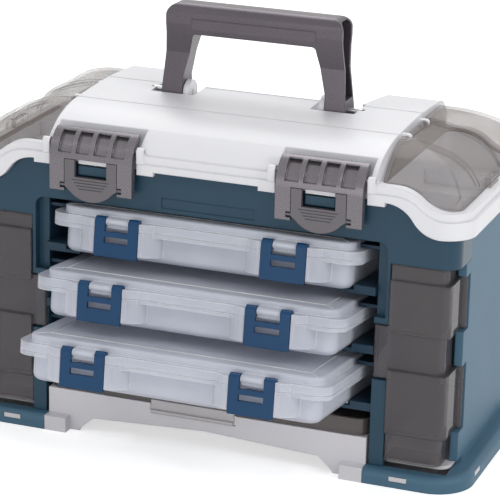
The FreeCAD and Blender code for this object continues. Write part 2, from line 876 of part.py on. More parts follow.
def outer_shell():
    """Sides and back of the case with the skirt, the door posts and the case's hinge knuckles."""
    half = S.case_half
    deep = S.case_depth
    inner = half - S.wall
    curve = S.case_round
    inner_curve = curve - S.wall
    front = S.shell_front
    low = S.skirt_high - S.wall
    walls = prism("XY", [
        (half, front), (half, deep - curve, curve), (half - curve, deep),
        (-half + curve, deep, curve), (-half, deep - curve), (-half, front), (-inner, front),
        (-inner, deep - curve, -inner_curve), (-inner + inner_curve, deep - S.wall),
        (inner - inner_curve, deep - S.wall, -inner_curve), (inner, deep - curve),
        (inner, front)], low, S.mid_height + S.cut_over)
    walls = cut(walls, above(PARTING, S.mid_height + 2 * S.cut_over, 0, BACK_OUT))
    # Posts in the doors' narrow zones carry the door pins
    bore = S.door_pin + S.bore_gap
    drill = S.door_pin_long + S.run_gap
    zones = ((S.tower_floor + S.run_gap, S.zone_low - S.post_gap),
             (S.zone_mid + S.post_gap, S.zone_high - S.post_gap),
             (S.zone_top + S.post_gap, S.door_top))
    drill_starts = (S.zone_low - S.post_gap - drill, S.zone_mid + S.post_gap,
                    S.zone_high - S.post_gap - drill, S.zone_top + S.post_gap)
    pieces = []
    holes = []
    for side in (1, -1):
        for post_low, post_top in zones:
            pieces.append(block(*span(side, S.post_in, half), S.post_front, front + S.wall,
                                post_low, post_top))
        for start in drill_starts:
            holes.append(rod("z", side * S.door_hinge_x, S.door_hinge_y, start, bore, drill))
        x0 = side * S.hinge_x - S.hinge_case_half
        x1 = side * S.hinge_x + S.hinge_case_half
        pieces.append(rod("x", x0, S.hinge_y, S.hinge_z, S.hinge_barrel, x1 - x0))
        pieces.append(block(x0, x1, deep - S.wall, S.hinge_y, S.hinge_z - S.hinge_barrel, S.hinge_z))
        holes.append(rod("x", x0 - S.cut_over, S.hinge_y, S.hinge_z, S.hinge_pin + S.bore_gap,
                         x1 - x0 + 2 * S.cut_over))
    keep(cut(fuse(walls, skirt(), *pieces), *holes), "outer_shell")


def base_tray():
    """Light base: front panel with its arch and feet, drawer deck, tower floors and snap tabs."""
    half = S.base_half
    back = S.case_depth - S.wall - S.run_gap
    top = S.base_top
    pieces = [prism("XZ", [
        (-half, 0), (-S.arch_low_half, 0), (-S.arch_low_half, S.arch_low_high),
        (-S.arch_top_half, S.arch_side_high), (0, S.arch_mid_high),
        (S.arch_top_half, S.arch_side_high), (S.arch_low_half, S.arch_low_high),
        (S.arch_low_half, 0), (half, 0), (half, top), (-half, top)], 0, S.wall)]
    pieces.append(block(-half, half, 0, back, top - S.deck_thick, top))
    skin = S.wall + S.snap_slack
    tray_half = S.skirt_half - skin
    tray_front = -S.skirt_front + skin
    tray_back = S.case_depth + S.skirt_back - skin
    tray_top = S.skirt_high - skin
    thin = S.rim_wall
    curve = S.skirt_round - skin
    tray = rounded(-tray_half, tray_half, tray_front, tray_back, 0, tray_top, curve)
    tray_hollow = rounded(-tray_half + thin, tray_half - thin, tray_front + thin, tray_back - thin,
                          thin, tray_top + S.cut_over, curve - thin)
    arch_gap = block(-S.foot_inner, S.foot_inner, tray_front - S.cut_over, tray_back + S.cut_over,
                     -S.cut_over, tray_top + S.cut_over)
    pieces.append(cut(tray, tray_hollow, arch_gap))
    gap = S.wall + S.run_gap
    floor = rounded(-S.case_half + gap, S.case_half - gap, S.frame_deep + S.run_gap, back,
                    S.tower_floor - S.wall, S.tower_floor, S.case_round - gap)
    pieces.append(cut(floor, block(-half + S.wall, half - S.wall, 0, back, 0, top)))
    for side in (1, -1):
        pieces.append(block(*span(side, half - S.wall, half), 0, back, S.tower_floor - S.wall, top))
        pieces.append(block(*span(side, S.foot_inner, half), -S.skirt_front, back,
                            0, S.skirt_high))
        pieces.append(block(*span(side, S.foot_inner, half), 0, back, 0, S.tower_floor))
    pieces += snap_windows(S.snap_slack, skin + thin / 2, S.snap_slack)
    notch = block(-S.notch_left, S.notch_right, -S.cut_over, S.notch_deep, S.notch_low, top + S.cut_over)
    keep(cut(fuse(*pieces), notch), "base_tray")


def box_seat(level):
    """Where the front bottom edge of a utility box lies, in y and z; level 0 is the top box."""
    return S.box_first_y - level * S.box_step_y, S.box_first_z - level * S.box_step_z


def tilted(seat, along, up):
    """A place in the case given by distances along and up from a box's front bottom edge."""
    sine = sin_of(S.box_tilt)
    cosine = cos_of(S.box_tilt)
    return seat[0] + along * cosine + up * sine, seat[1] - along * sine + up * cosine


def tilted_bar(seat, start_y, low, high, end, x0, x1):
    """Bar along a box's underside from one upright plane in the case back to a place on the box."""
    sine = sin_of(S.box_tilt)
    cosine = cos_of(S.box_tilt)
    starts = []
    for up in (low, high):
        along = (start_y - seat[0] - up * sine) / cosine
        starts.append(tilted(seat, along, up))
    return prism("YZ", [starts[0], tilted(seat, end, low), tilted(seat, end, high), starts[1]], x0, x1)


def racks():
    """Side walls of the bay with three sloping ledges, their guide rails and rear stops."""
    wall_in = S.bay_half
    wall_out = wall_in + S.wall
    back = S.case_depth - S.wall - S.run_gap
    behind = S.frame_deep + S.run_gap
    front = S.rack_front
    pieces = [block(wall_in, wall_out, behind, back, S.tower_floor, S.header_top)]
    rail_in = S.tub_half + S.rack_clear
    hold_low = S.lid_rim_high + S.hold_rail_gap
    stop_in = S.box_deep + S.run_gap
    stop_out = stop_in + S.ledge_thick
    under = -S.run_gap
    for level in range(3):
        seat = box_seat(level)
        pieces.append(tilted_bar(seat, front, under - S.ledge_thick, under, stop_out,
                                 S.ledge_in, wall_out))
        pieces.append(tilted_bar(seat, front, under - S.ledge_thick / 2, S.ledge_rail_high, stop_out,
                                 rail_in, wall_out))
        pieces.append(tilted_bar(seat, behind, hold_low, hold_low + S.hold_rail_high, stop_out,
                                 S.plateau_half + S.rack_clear, wall_out))
        stop = [tilted(seat, stop_in, under), tilted(seat, stop_out, under),
                tilted(seat, stop_out, hold_low), tilted(seat, stop_in, hold_low)]
        pieces.append(prism("YZ", stop, S.ledge_in, wall_out))
    region = block(S.ledge_in, wall_out, front, back, S.tower_floor, S.header_top)
    sheath = block(wall_in, wall_out + S.cut_over, 0, behind, S.tower_floor, S.header_top)
    keep_pair(cut(common(fuse(*pieces), region), sheath), "rack")


def bulk_tray():
    """Floor of the bulk space under the lid, with a low lip all round."""
    gap = S.wall + S.run_gap
    half = S.case_half - gap
    curve = S.case_round - gap
    low = S.header_top
    top = low + S.wall
    plate = rounded(-half, half, gap, S.case_depth - gap, low, top + S.tray_lip, curve)
    hollow = rounded(-half + S.wall, half - S.wall, gap + S.wall, S.case_depth - gap - S.wall,
                     top, top + S.tray_lip + S.cut_over, curve - S.wall)
    keep(cut(plate, hollow), "bulk_tray")


def lid_hinge_pins():
    """Two plain pins that the lid swings on."""
    reach = S.hinge_case_half + S.hinge_lid_long
    pins = [rod("x", side * S.hinge_x - reach, S.hinge_y, S.hinge_z, S.hinge_pin, 2 * reach)
            for side in (1, -1)]
    keep(group(*pins), "lid_hinge_pins")


def door_corner(inset, front, x_out, back, low, high):
    """Filled corner block of a door with a round outer corner; an inset makes the hollow in it."""
    left = DOOR_IN - S.cut_over if inset.value else DOOR_IN
    curve = S.door_round - inset
    front = front + inset
    x_out = x_out - inset
    return prism("XY", [(left, front), (x_out - curve, front, curve), (x_out, front + curve),
                        (x_out, back), (left, back)], low, high)


def bait_doors():
    """Stepped corner doors: wide zones stand proud of the narrow ones, with a clip on the edge."""
    thick = S.door_thick
    hollow_back = S.door_hinge_y + S.cut_over
    zones = ((S.zone_low, S.zone_mid), (S.zone_high, S.zone_top))
    pieces = [door_corner(NONE, S.door_narrow_front, S.door_narrow, S.door_narrow_back,
                          S.door_low, S.door_top)]
    hollows = [door_corner(thick, S.door_narrow_front, S.door_narrow, hollow_back,
                           S.door_low + thick, S.door_top - thick)]
    for low, high in zones:
        pieces.append(door_corner(NONE, -S.door_wide_front, S.door_wide, S.door_hinge_y, low, high))
        hollows.append(door_corner(thick, -S.door_wide_front, S.door_wide, hollow_back,
                                   low + thick, high - thick))
    clip_in = S.bay_half + S.clip_end_gap
    clip_front = S.door_narrow_front
    clip_back = clip_front + thick
    trims = [block(clip_in, DOOR_IN + thick, clip_front, clip_back, S.clip_low, S.clip_high),
             block(clip_in, clip_in + S.clip_hook, clip_front, clip_back + S.clip_hook_deep,
                   S.clip_low, S.clip_high)]
    reach = S.post_gap + S.door_pin_long
    for low, high in zones:
        trims.append(rod("z", S.door_hinge_x, S.door_hinge_y, low, S.door_barrel, high - low))
        trims.append(rod("z", S.door_hinge_x, S.door_hinge_y, low - reach, S.door_pin,
                         high - low + 2 * reach))
    keep_pair(fuse(cut(fuse(*pieces), *hollows), *trims), "bait_door")


# Lid

def lid_plan(inset, low, high):
    return rounded(-S.rim_half + inset, S.rim_half - inset, -S.rim_front + inset,
                   S.case_depth + S.rim_back - inset, low, high, S.rim_round - inset)


def crown_outline(low):
    """Side view of the crown, from its front foot over the top to its rear foot."""
    back = S.case_depth + S.rim_back - S.crown_back_in
    return [(-S.crown_front, low), (-S.crown_front, S.crown_front_high, -S.crown_brow),
            (S.crown_a_y, S.crown_a_high, -S.crown_brow), (S.crown_b_y, S.crown_b_high, -S.crown_flat),
            (S.crown_c_y, S.crown_c_high, -S.crown_flat), (S.crown_d_y, S.crown_d_high, -S.crown_roll),
            (back, S.crown_front_high), (back, low)]


def crown_hollow(low):
    """Side view of the space under the crown."""
    wall = S.lid_wall
    front = S.cover_front - S.cover_gap
    back = S.cover_back + S.cover_gap
    return [(front, low), (front, S.crown_front_high), (S.crown_a_y + wall, S.crown_a_high - wall),
            (S.crown_b_y, S.crown_b_high - wall), (S.crown_c_y, S.crown_c_high - wall),
            (S.crown_d_y - wall, S.crown_d_high - wall), (back, S.crown_front_high), (back, low)]


def latch_seat(side, grow):
    """Recess in the front of the lid for one latch; grow makes the wall round it."""
    middle = side * S.latch_x
    half = S.seat_half + grow
    y_out = -S.latch_front - S.cut_over
    low = S.mid_height - grow
    step = S.seat_step_z - grow
    slope = S.seat_slope_y + grow
    points = [(y_out, low), (-S.seat_back + grow, low), (-S.seat_back + grow, step),
              (S.seat_step_y + grow, step), (slope, S.seat_slope_z), (slope, TOP_OUT), (y_out, TOP_OUT)]
    return prism("YZ", points, middle - half, middle + half)


def handle_notch(grow):
    """Rear recess that takes the folded handle."""
    front = S.notch_y - grow
    narrow = S.notch_front_half + grow
    wide = S.notch_back_half + grow
    return prism("XY", [(-narrow, front), (narrow, front), (wide, S.crown_d_y), (wide, BACK_OUT),
                        (-wide, BACK_OUT), (-wide, S.crown_d_y)], S.notch_floor - grow, TOP_OUT)


def handle_pocket(side, grow):
    """Pocket round one leg of the handle."""
    sideways = span(side, S.pocket_in - grow, S.pocket_out + grow)
    return block(*sideways, S.pocket_front - grow, S.notch_y + S.cut_over,
                 S.pocket_floor - grow, TOP_OUT)


def lid_shell():
    """White lid: stepped rim, hollow crown, end wells, handle and latch seats, ears and knuckles."""
    wall = S.lid_wall
    low = S.end_height
    front = -S.rim_front - S.cut_over
    well_front = S.cover_front - S.cover_gap
    well_back = S.cover_back + S.cover_gap
    well_out = S.cover_out + S.cover_gap
    ledge_round = S.cover_round + S.cover_gap
    pieces = [common(lid_plan(NONE, low, TOP_OUT), between(LID_EDGE, RIM_STEP, front, BACK_OUT)),
              common(lid_plan(S.rim_step, low, TOP_OUT), between(LID_EDGE, RIM_TOP, front, BACK_OUT)),
              prism("YZ", crown_outline(S.mid_height + S.part_gap), -S.crown_half, S.crown_half)]
    hollows = [cut(prism("YZ", crown_hollow(low), -S.crown_half + wall, S.crown_half - wall),
                   handle_notch(wall), handle_pocket(1, wall), handle_pocket(-1, wall),
                   latch_seat(1, wall), latch_seat(-1, wall))]
    under_rim = below(RIM_TOP, 0, 0, BACK_OUT)
    over_ledge = above(LEDGE, TOP_OUT, 0, BACK_OUT)
    step = S.well_wall
    for side in (1, -1):
        x0, x1 = span(side, S.well_in - step, well_out)
        well = rounded(x0, x1, well_front, well_back, S.well_floor - step, TOP_OUT, ledge_round)
        pieces.append(common(well, under_rim))
        x0, x1 = span(side, S.well_in, well_out - step)
        hollows.append(rounded(x0, x1, well_front + step, well_back - step, S.well_floor,
                               TOP_OUT, S.well_round))
        x0, x1 = span(side, S.crown_half, well_out)
        opening = rounded(x0, x1, well_front, well_back, S.well_floor, TOP_OUT, ledge_round)
        hollows.append(common(opening, over_ledge))
        hollows.append(latch_seat(side, NONE))
        hollows.append(handle_pocket(side, NONE))
    hollows.append(handle_notch(NONE))
    for y, z in ((S.crown_b_y, S.crown_b_high), (S.crown_c_y, S.crown_c_high)):
        hollows.append(block(-S.crown_half, S.crown_half, y - S.groove_wide / 2, y + S.groove_wide / 2,
                             z - S.groove_deep, TOP_OUT))
    fittings, bores = lid_fittings()
    keep(cut(fuse(cut(fuse(*pieces), *hollows), *fittings), *bores), "lid_shell")


def lid_fittings():
    """Ears, lugs and knuckles that stand on the lid, and the holes through them."""
    solids = []
    bores = []
    over = S.cut_over
    edge = S.mid_height + S.part_gap
    for side in (1, -1):
        # Ears of the handle pivots
        x0, x1 = span(side, S.ear_in, S.ear_out)
        solids.append(rod("x", x0, S.pivot_y, S.pivot_z, S.ear_round, x1 - x0))
        solids.append(block(x0, x1, S.pivot_y - S.ear_round, S.pivot_y + S.ear_round,
                            S.pocket_floor - S.lid_wall, S.pivot_z))
        x0, x1 = span(side, S.ear_in - over, S.pocket_out + S.lid_wall + over)
        bores.append(rod("x", x0, S.pivot_y, S.pivot_z, S.handle_pin + S.bore_gap, x1 - x0))
        # Ears of the latch pivots, lugs beside the latch and the lug behind its window
        middle = side * S.latch_x
        for hand in (1, -1):
            x0, x1 = span(hand, S.seat_half, S.seat_half + S.latch_ear)
            solids.append(rod("x", middle + x0, -S.latch_pivot_y, S.latch_pivot_z,
                              S.latch_ear_round, x1 - x0))
            solids.append(block(middle + x0, middle + x1, -S.latch_pivot_y - S.latch_ear_round,
                                S.crown_front, S.rim_mid_high - S.rim_step_high, S.latch_pivot_z))
            bores.append(rod("x", middle + x0 - over, -S.latch_pivot_y, S.latch_pivot_z,
                             S.latch_pin + S.bore_gap, x1 - x0 + 2 * over))
            x0, x1 = span(hand, S.seat_half, S.seat_half + S.lug_wide)
            solids.append(block(middle + x0, middle + x1, -S.rim_front, -S.rim_front + S.lug_thick,
                                edge - S.lug_drop, edge + over))
        solids.append(block(middle - S.catch_half, middle + S.catch_half, -S.catch_front,
                            S.cover_front, edge, S.lid_lug_high))
        # Knuckles of the rear hinge
        middle = side * S.hinge_x
        for hand in (1, -1):
            x0, x1 = span(hand, S.hinge_case_half + S.hinge_slack, S.hinge_case_half + S.hinge_lid_long)
            solids.append(rod("x", middle + x0, S.hinge_y, S.hinge_z, S.hinge_barrel, x1 - x0))
            solids.append(block(middle + x0, middle + x1, S.hinge_y - S.hinge_barrel, S.hinge_y,
                                S.hinge_z, edge + over))
            bores.append(rod("x", middle + x0 - over, S.hinge_y, S.hinge_z,
                             S.hinge_pin + S.bore_gap, x1 - x0 + 2 * over))
        # Ears of the end cover's hinge
        x0, x1 = span(side, S.crown_half - S.lid_wall, S.cover_hinge_x)
        for y0 in (S.cover_hinge_front - S.cover_ear_gap - S.cover_ear,
                   S.cover_hinge_back + S.cover_ear_gap):
            solids.append(block(x0, x1, y0, y0 + S.cover_ear, S.cover_hinge_z - S.cover_barrel,
                                S.cover_hinge_z + S.cover_barrel))
            solids.append(rod("y", side * S.cover_hinge_x, y0, S.cover_hinge_z, S.cover_barrel,
                              S.cover_ear))
            bores.append(rod("y", side * S.cover_hinge_x, y0 - over, S.cover_hinge_z,
                             S.cover_pin + S.bore_gap, S.cover_ear + 2 * over))
    return solids, bores


def well_dividers():
    """Two loose cross plates in each end well."""
    plates = []
    for y in (S.divider_front, S.divider_back):
        plates.append(block(S.well_in + S.divider_gap,
                            S.cover_out + S.cover_gap - S.well_wall - S.divider_gap,
                            y, y + S.divider_thick, S.well_floor, S.divider_top))
    keep_pair(group(*plates), "well_dividers")


def handle_pins():
    """Pins from the ears through the handle's feet into the pocket walls."""
    pins = []
    for side in (1, -1):
        x0, x1 = span(side, S.ear_in, S.pocket_out + S.lid_wall)
        pins.append(rod("x", x0, S.pivot_y, S.pivot_z, S.handle_pin, x1 - x0))
    keep(group(*pins), "handle_pins")


def handle_front():
    """Front view of the bail, with its legs drawn in towards the grip."""
    top = S.handle_top
    curve = S.handle_round
    low = S.pivot_z - S.handle_end
    bend = S.leg_bend_z
    under = S.grip_step_z
    inner = S.grip_in_half
    small = S.handle_inner_round
    return [(-S.leg_out, low), (-S.leg_in, low), (-S.leg_in, bend), (-inner, under - small, -small),
            (-inner + small, under), (inner - small, under, -small), (inner, under - small),
            (S.leg_in, bend), (S.leg_in, low), (S.leg_out, low), (S.grip_half, under),
            (S.grip_half, top - curve, curve), (S.grip_half - curve, top),
            (-S.grip_half + curve, top, curve), (-S.grip_half, top - curve), (-S.grip_half, under)]


def handle_side(inset, low):
    """Side view of the bail from its round foot up to the grip."""
    foot = S.handle_end - inset
    top = S.handle_top - inset
    curve = S.grip_round - inset
    front = S.grip_front + inset
    back = S.grip_back - inset
    start = [(S.pivot_y - foot, low)]
    if not inset.value:
        start = [(S.pivot_y - foot, low, foot), (S.pivot_y, low - foot, foot)]
    return start + [(S.pivot_y + foot, low), (S.leg_mid_back - inset, S.leg_mid_z),
                    (back, S.grip_step_z + curve), (back, top - curve, curve), (back - curve, top),
                    (front + curve, top, curve), (front, top - curve),
                    (front, S.grip_step_z + curve), (S.leg_mid_front + inset, S.leg_mid_z)]


def handle():
    """Carrying bail with hollow outer sides, a recessed panel on the grip and bored feet."""
    over = S.cut_over
    half = S.leg_out + over
    solid = common(prism("XZ", handle_front(), S.grip_front - over, S.grip_back + over),
                   prism("YZ", handle_side(NONE, S.pivot_z), -half, half))
    tools = [block(-S.grip_panel_half, S.grip_panel_half, S.grip_front - over,
                   S.grip_front + S.grip_panel_deep, S.grip_panel_low, S.grip_panel_high)]
    foot_front = S.pivot_y - S.handle_end
    for side in (1, -1):
        tools.append(prism("YZ", handle_side(S.channel_wall, S.channel_low),
                           *span(side, S.channel_in, half)))
        tools.append(block(*span(side, S.channel_in, S.leg_out - S.channel_wall),
                           foot_front - over, foot_front + S.grip_panel_deep,
                           S.foot_pad_low, S.foot_pad_high))
        x0, x1 = span(side, S.leg_in - over, half)
        tools.append(rod("x", x0, S.pivot_y, S.pivot_z, S.handle_pin + S.bore_gap, x1 - x0))
    keep(cut(solid, *tools), "handle")


def cover_block(inset, drop, y0, y1):
    """One zone of an end cover's dome: side and front curves meet; inset gives the inner faces."""
    low = S.end_height
    lower = drop + inset
    top = S.cover_top - lower
    x_in = S.cover_in + inset
    x_out = S.cover_out - inset
    across = prism("XZ", [(x_in, low), (x_out, low), (x_out, S.cover_side_z - drop, S.cover_side_bow),
                          (S.cover_brow_x - inset / 2, S.cover_brow_z - lower, S.cover_brow_bow),
                          (x_in, top)], y0, y1)
    front = S.cover_front + inset
    back = S.cover_back - inset
    along = prism("YZ", [(back, low), (back, S.cover_tail_z - lower, S.cover_tail_bow),
                         (S.cover_tail_y, top), (S.cover_brow_y, top, S.cover_nose_bow),
                         (front, S.cover_nose_z - lower), (front, low)], x_in, x_out)
    return common(across, along)


def end_covers():
    """Smoke end covers: three-zone domes with a hinge barrel inside and a finger tab outside."""
    thick = S.cover_thick
    outer = fuse(cover_block(NONE, NONE, S.cover_front, S.cover_zone_front),
                 cover_block(NONE, S.cover_drop, S.cover_zone_front, S.cover_zone_back),
                 cover_block(NONE, NONE, S.cover_zone_back, S.cover_back))
    front_end = S.cover_zone_front - thick
    back_start = S.cover_zone_back + thick
    inner = fuse(cover_block(thick, NONE, S.cover_front, front_end),
                 cover_block(thick, S.cover_drop, front_end, back_start),
                 cover_block(thick, NONE, back_start, S.cover_back))
    plan = rounded(S.cover_in, S.cover_out, S.cover_front, S.cover_back, S.end_height, TOP_OUT,
                   S.cover_round)
    plan_in = rounded(S.cover_in + thick, S.cover_out - thick, S.cover_front + thick,
                      S.cover_back - thick, S.end_height - thick, TOP_OUT, S.cover_round - thick)
    shell = cut(common(outer, plan), common(inner, plan_in))
    barrel = S.cover_barrel
    tools = [below(COVER_EDGE, 0, 0, BACK_OUT)]
    for y0 in (S.cover_hinge_front - 2 * S.cover_ear_gap - S.cover_ear, S.cover_hinge_back):
        tools.append(block(S.cover_in - S.cut_over, S.cover_hinge_x + barrel + S.cover_gap,
                           y0, y0 + S.cover_ear + 2 * S.cover_ear_gap,
                           S.cover_hinge_z - 2 * barrel, TOP_OUT))
    long = S.cover_hinge_back - S.cover_hinge_front
    middle = (S.cover_hinge_front + S.cover_hinge_back) / 2
    tab_low = S.rim_end_high + S.run_gap
    reach = S.cover_ear_gap + S.cover_pin_long
    trims = [rod("y", S.cover_hinge_x, S.cover_hinge_front, S.cover_hinge_z, barrel, long),
             rod("y", S.cover_hinge_x, S.cover_hinge_front - reach, S.cover_hinge_z, S.cover_pin,
                 long + 2 * reach),
             block(S.cover_in, S.cover_hinge_x, S.cover_hinge_front, S.cover_hinge_back,
                   S.cover_hinge_z - barrel, S.cover_hinge_z),
             block(S.cover_out - thick, S.cover_out + S.cover_tab_out, middle - S.cover_tab_half,
                   middle + S.cover_tab_half, tab_low, tab_low + S.cover_tab_high)]
    keep_pair(fuse(cut(shell, *tools), *trims), "end_cover")


def latch_frames():
    """Front latch levers: bowed plate with ribbed slots, cheeks with pivot pins, paddle opening."""
    middle = S.latch_x
    half = S.latch_half
    front = -S.latch_front
    back = front + S.latch_thick
    bend = S.latch_bend
    top = (S.latch_top_y, S.latch_top_z)
    tip = (S.latch_top_y + S.latch_thick / 2, S.latch_top_z - S.latch_thick)
    bow = S.latch_bow
    pieces = [prism("YZ", [(front, S.latch_low), (front, bend, -bow), top,
                           (*tip, bow - S.latch_thick), (back, bend), (back, S.latch_low)],
                    middle - half, middle + half)]
    tools = []
    for hand in (1, -1):
        x0, x1 = span(hand, half - S.latch_thick, half)
        pieces.append(prism("YZ", [(front, S.latch_low), (-S.latch_cheek_foot, S.latch_low),
                                   (-S.latch_cheek_back, bend), tip, (*top, bow), (front, bend)],
                            middle + x0, middle + x1))
        x0, x1 = span(hand, half - S.latch_thick, half + S.latch_pin_long)
        pieces.append(rod("x", middle + x0, -S.latch_pivot_y, S.latch_pivot_z, S.latch_pin, x1 - x0))
        x0, x1 = span(hand, S.paddle_half, S.paddle_half + S.paddle_gap + S.paddle_notch)
        tools.append(block(middle + x0, middle + x1, front - S.cut_over, back + S.cut_over,
                           S.paddle_pivot_z - S.paddle_notch_high,
                           S.paddle_pivot_z + S.paddle_notch_high))
        x0, x1 = span(hand, S.paddle_half, S.paddle_half + S.paddle_gap + S.paddle_pin_long)
        tools.append(rod("x", middle + x0, (front + back) / 2, S.paddle_pivot_z,
                         S.paddle_pin + S.bore_gap, x1 - x0))
    opening = S.paddle_half + S.paddle_gap
    tools.append(block(middle - opening, middle + opening, front - S.cut_over, back + S.cut_over,
                       S.latch_low - S.cut_over, S.paddle_top + S.paddle_gap))
    deep = S.rib_deep
    # The slots stop at a thin web that follows the bowed plate
    web = prism("YZ", [(front + deep, S.latch_low), (front + deep, bend, deep - bow),
                       (S.latch_top_y + deep / 2, S.latch_top_z - deep),
                       (*tip, bow - S.latch_thick), (back, bend), (back, S.latch_low)],
                middle - half, middle + half)
    for share in RIB_PLACE_SHARES:
        centre = middle + share * S.rib_pitch
        slot = block(centre - S.rib_slot / 2, centre + S.rib_slot / 2, front - S.cut_over,
                     S.latch_top_y + S.latch_thick, S.rib_low, S.rib_high)
        tools.append(cut(slot, web))
    keep_pair(cut(fuse(*pieces), *tools), "latch_frame")


def latch_paddles():
    """Release paddles: U-shaped plate round the catch, round lip below, grip lines, stub pins."""
    middle = S.latch_x
    half = S.paddle_half
    front = -S.latch_front
    back = front + S.latch_thick
    reach = half - S.paddle_arc_in
    sag = S.paddle_arc_low - S.paddle_lip
    bow = (reach * reach + sag * sag) / (2 * sag)
    window = S.paddle_window_half
    plate = prism("XZ", [
        (middle - half, S.paddle_side_low), (middle - reach, S.paddle_arc_low, bow),
        (middle + reach, S.paddle_arc_low), (middle + half, S.paddle_side_low),
        (middle + half, S.paddle_top), (middle + window, S.paddle_top),
        (middle + window, S.paddle_window_low), (middle - window, S.paddle_window_low),
        (middle - window, S.paddle_top), (middle - half, S.paddle_top)], front, back)
    lines = []
    for place in range(4):
        wide = S.grip_line_half - place * S.grip_line_step
        low = S.paddle_window_low - (place + 1) * S.grip_line_pitch
        lines.append(block(middle - wide, middle + wide, front - S.cut_over,
                           front + S.grip_line_deep, low, low + S.grip_line_high))
    long = S.paddle_pin_long
    pins = [rod("x", middle + start, (front + back) / 2, S.paddle_pivot_z, S.paddle_pin, long)
            for start in (half, -half - long)]
    keep_pair(fuse(cut(plate, *lines), *pins), "latch_paddle")


# Utility boxes, drawn level from their front bottom edge and then copied into the rack

def box_cheek(hand, side, low, high):
    """Flared block beside a box latch."""
    start = S.box_latch_half + S.box_cheek_gap
    flat = start + S.box_cheek_flat
    end = start + S.box_cheek_long
    middle = side * S.box_latch_x
    front = -S.box_cheek_front
    back = S.tub_front
    if hand > 0:
        points = [(middle + start, back), (middle + start, front),
                  (middle + flat, front, S.box_cheek_bow), (middle + end, back)]
    else:
        points = [(middle - end, back, S.box_cheek_bow), (middle - flat, front),
                  (middle - start, front), (middle - start, back)]
    return prism("XY", points, low, high)


def box_cheeks(low, high):
    return [box_cheek(hand, side, low, high) for hand in (1, -1) for side in (1, -1)]


def box_latch_notches(low, high):
    """Gaps in the front rim where the latches stand."""
    half = S.box_latch_half + S.box_cheek_gap
    return [block(side * S.box_latch_x - half, side * S.box_latch_x + half,
                  -S.box_cheek_front - S.cut_over, S.box_notch_deep, low, high) for side in (1, -1)]


def box_tub():
    """Clear tub: rounded walls, a flange all round, a long middle wall and the latch cheeks."""
    wall = S.tub_wall
    half = S.tub_half
    body = rounded(-half, half, S.tub_front, S.tub_back, 0, S.flange_low, S.tub_round)
    soften(body, S.tub_soft, at_bottom(body))
    inner = rounded(-half + wall, half - wall, S.tub_front + wall, S.tub_back - wall,
                    wall, S.flange_high + S.cut_over, S.tub_round - wall)
    soften(inner, S.tub_soft - wall, at_bottom(inner))
    flange = rounded(-S.box_half, S.box_half, 0, S.box_deep, S.flange_low, S.flange_high, S.box_round)
    divider = block(-half + wall / 2, half - wall / 2, S.mid_wall_y - wall / 2,
                    S.mid_wall_y + wall / 2, wall / 2, S.flange_high - S.lid_seam)
    notches = box_latch_notches(S.flange_low - S.cut_over, S.flange_high + S.cut_over)
    return fuse(cut(fuse(body, flange), inner, *notches), divider,
                *box_cheeks(S.box_cheek_low, S.flange_high))


def box_lid():
    """Clear lid: low rim, hollow plateau with a raised outline, latch barrels and cheeks."""
    low = S.flange_high + S.lid_seam
    wall = S.tub_wall
    rim = rounded(-S.box_half, S.box_half, 0, S.box_deep, low, S.lid_rim_high, S.box_round)
    half = S.plateau_half
    front = S.plateau_front
    back = S.plateau_back
    top = S.box_high - S.box_line_high
    plateau = rounded(-half, half, front, back, low, top, S.tub_round)
    soften(plateau, S.plateau_soft, at_top(plateau))
    hollow = rounded(-half + wall, half - wall, front + wall, back - wall,
                     low - S.cut_over, top - wall, S.tub_round - wall)
    inset = S.box_line_in
    wide = inset + S.box_line_wide
    line = cut(block(-half + inset, half - inset, front + inset, back - inset,
                     top - wall / 2, S.box_high),
               block(-half + wide, half - wide, front + wide, back - wide,
                     low, S.box_high + S.cut_over))
    solids = [line]
    bores = []
    knuckle = S.box_latch_half - S.box_prong_wide - S.box_cheek_gap
    for side in (1, -1):
        middle = side * S.box_latch_x
        solids.append(rod("x", middle - knuckle, -S.box_pivot_y, S.box_pivot_z, S.box_barrel,
                          2 * knuckle))
        solids.append(block(middle - knuckle, middle + knuckle, -S.box_pivot_y, front + wall,
                            low, S.box_pivot_z + S.box_barrel))
        bores.append(rod("x", middle - knuckle - S.cut_over, -S.box_pivot_y, S.box_pivot_z,
                         S.box_pin + S.bore_gap, 2 * (knuckle + S.cut_over)))
    notches = box_latch_notches(low - S.cut_over, S.box_high + S.cut_over)
    shell = cut(fuse(rim, plateau), hollow, *notches)
    return cut(fuse(shell, *solids, *box_cheeks(low, S.lid_rim_high)), *bores)


def box_dividers():
    """Four loose cross plates, two to a row."""
    wall = S.tub_wall
    third = (S.tub_half - wall) / 3
    rows = ((S.tub_front + wall + S.plate_gap, S.mid_wall_y - wall / 2 - S.plate_gap),
            (S.mid_wall_y + wall / 2 + S.plate_gap, S.tub_back - wall - S.plate_gap))
    soft = S.tub_soft - wall
    top = S.flange_high - S.lid_seam
    plates = []
    for y0, y1 in rows:
        for side in (1, -1):
            middle = side * third
            plates.append(prism("YZ", [(y0, wall + soft), (y0 + soft, wall), (y1 - soft, wall),
                                       (y1, wall + soft), (y1, top), (y0, top)],
                                middle - wall / 2, middle + wall / 2))
    return group(*plates)


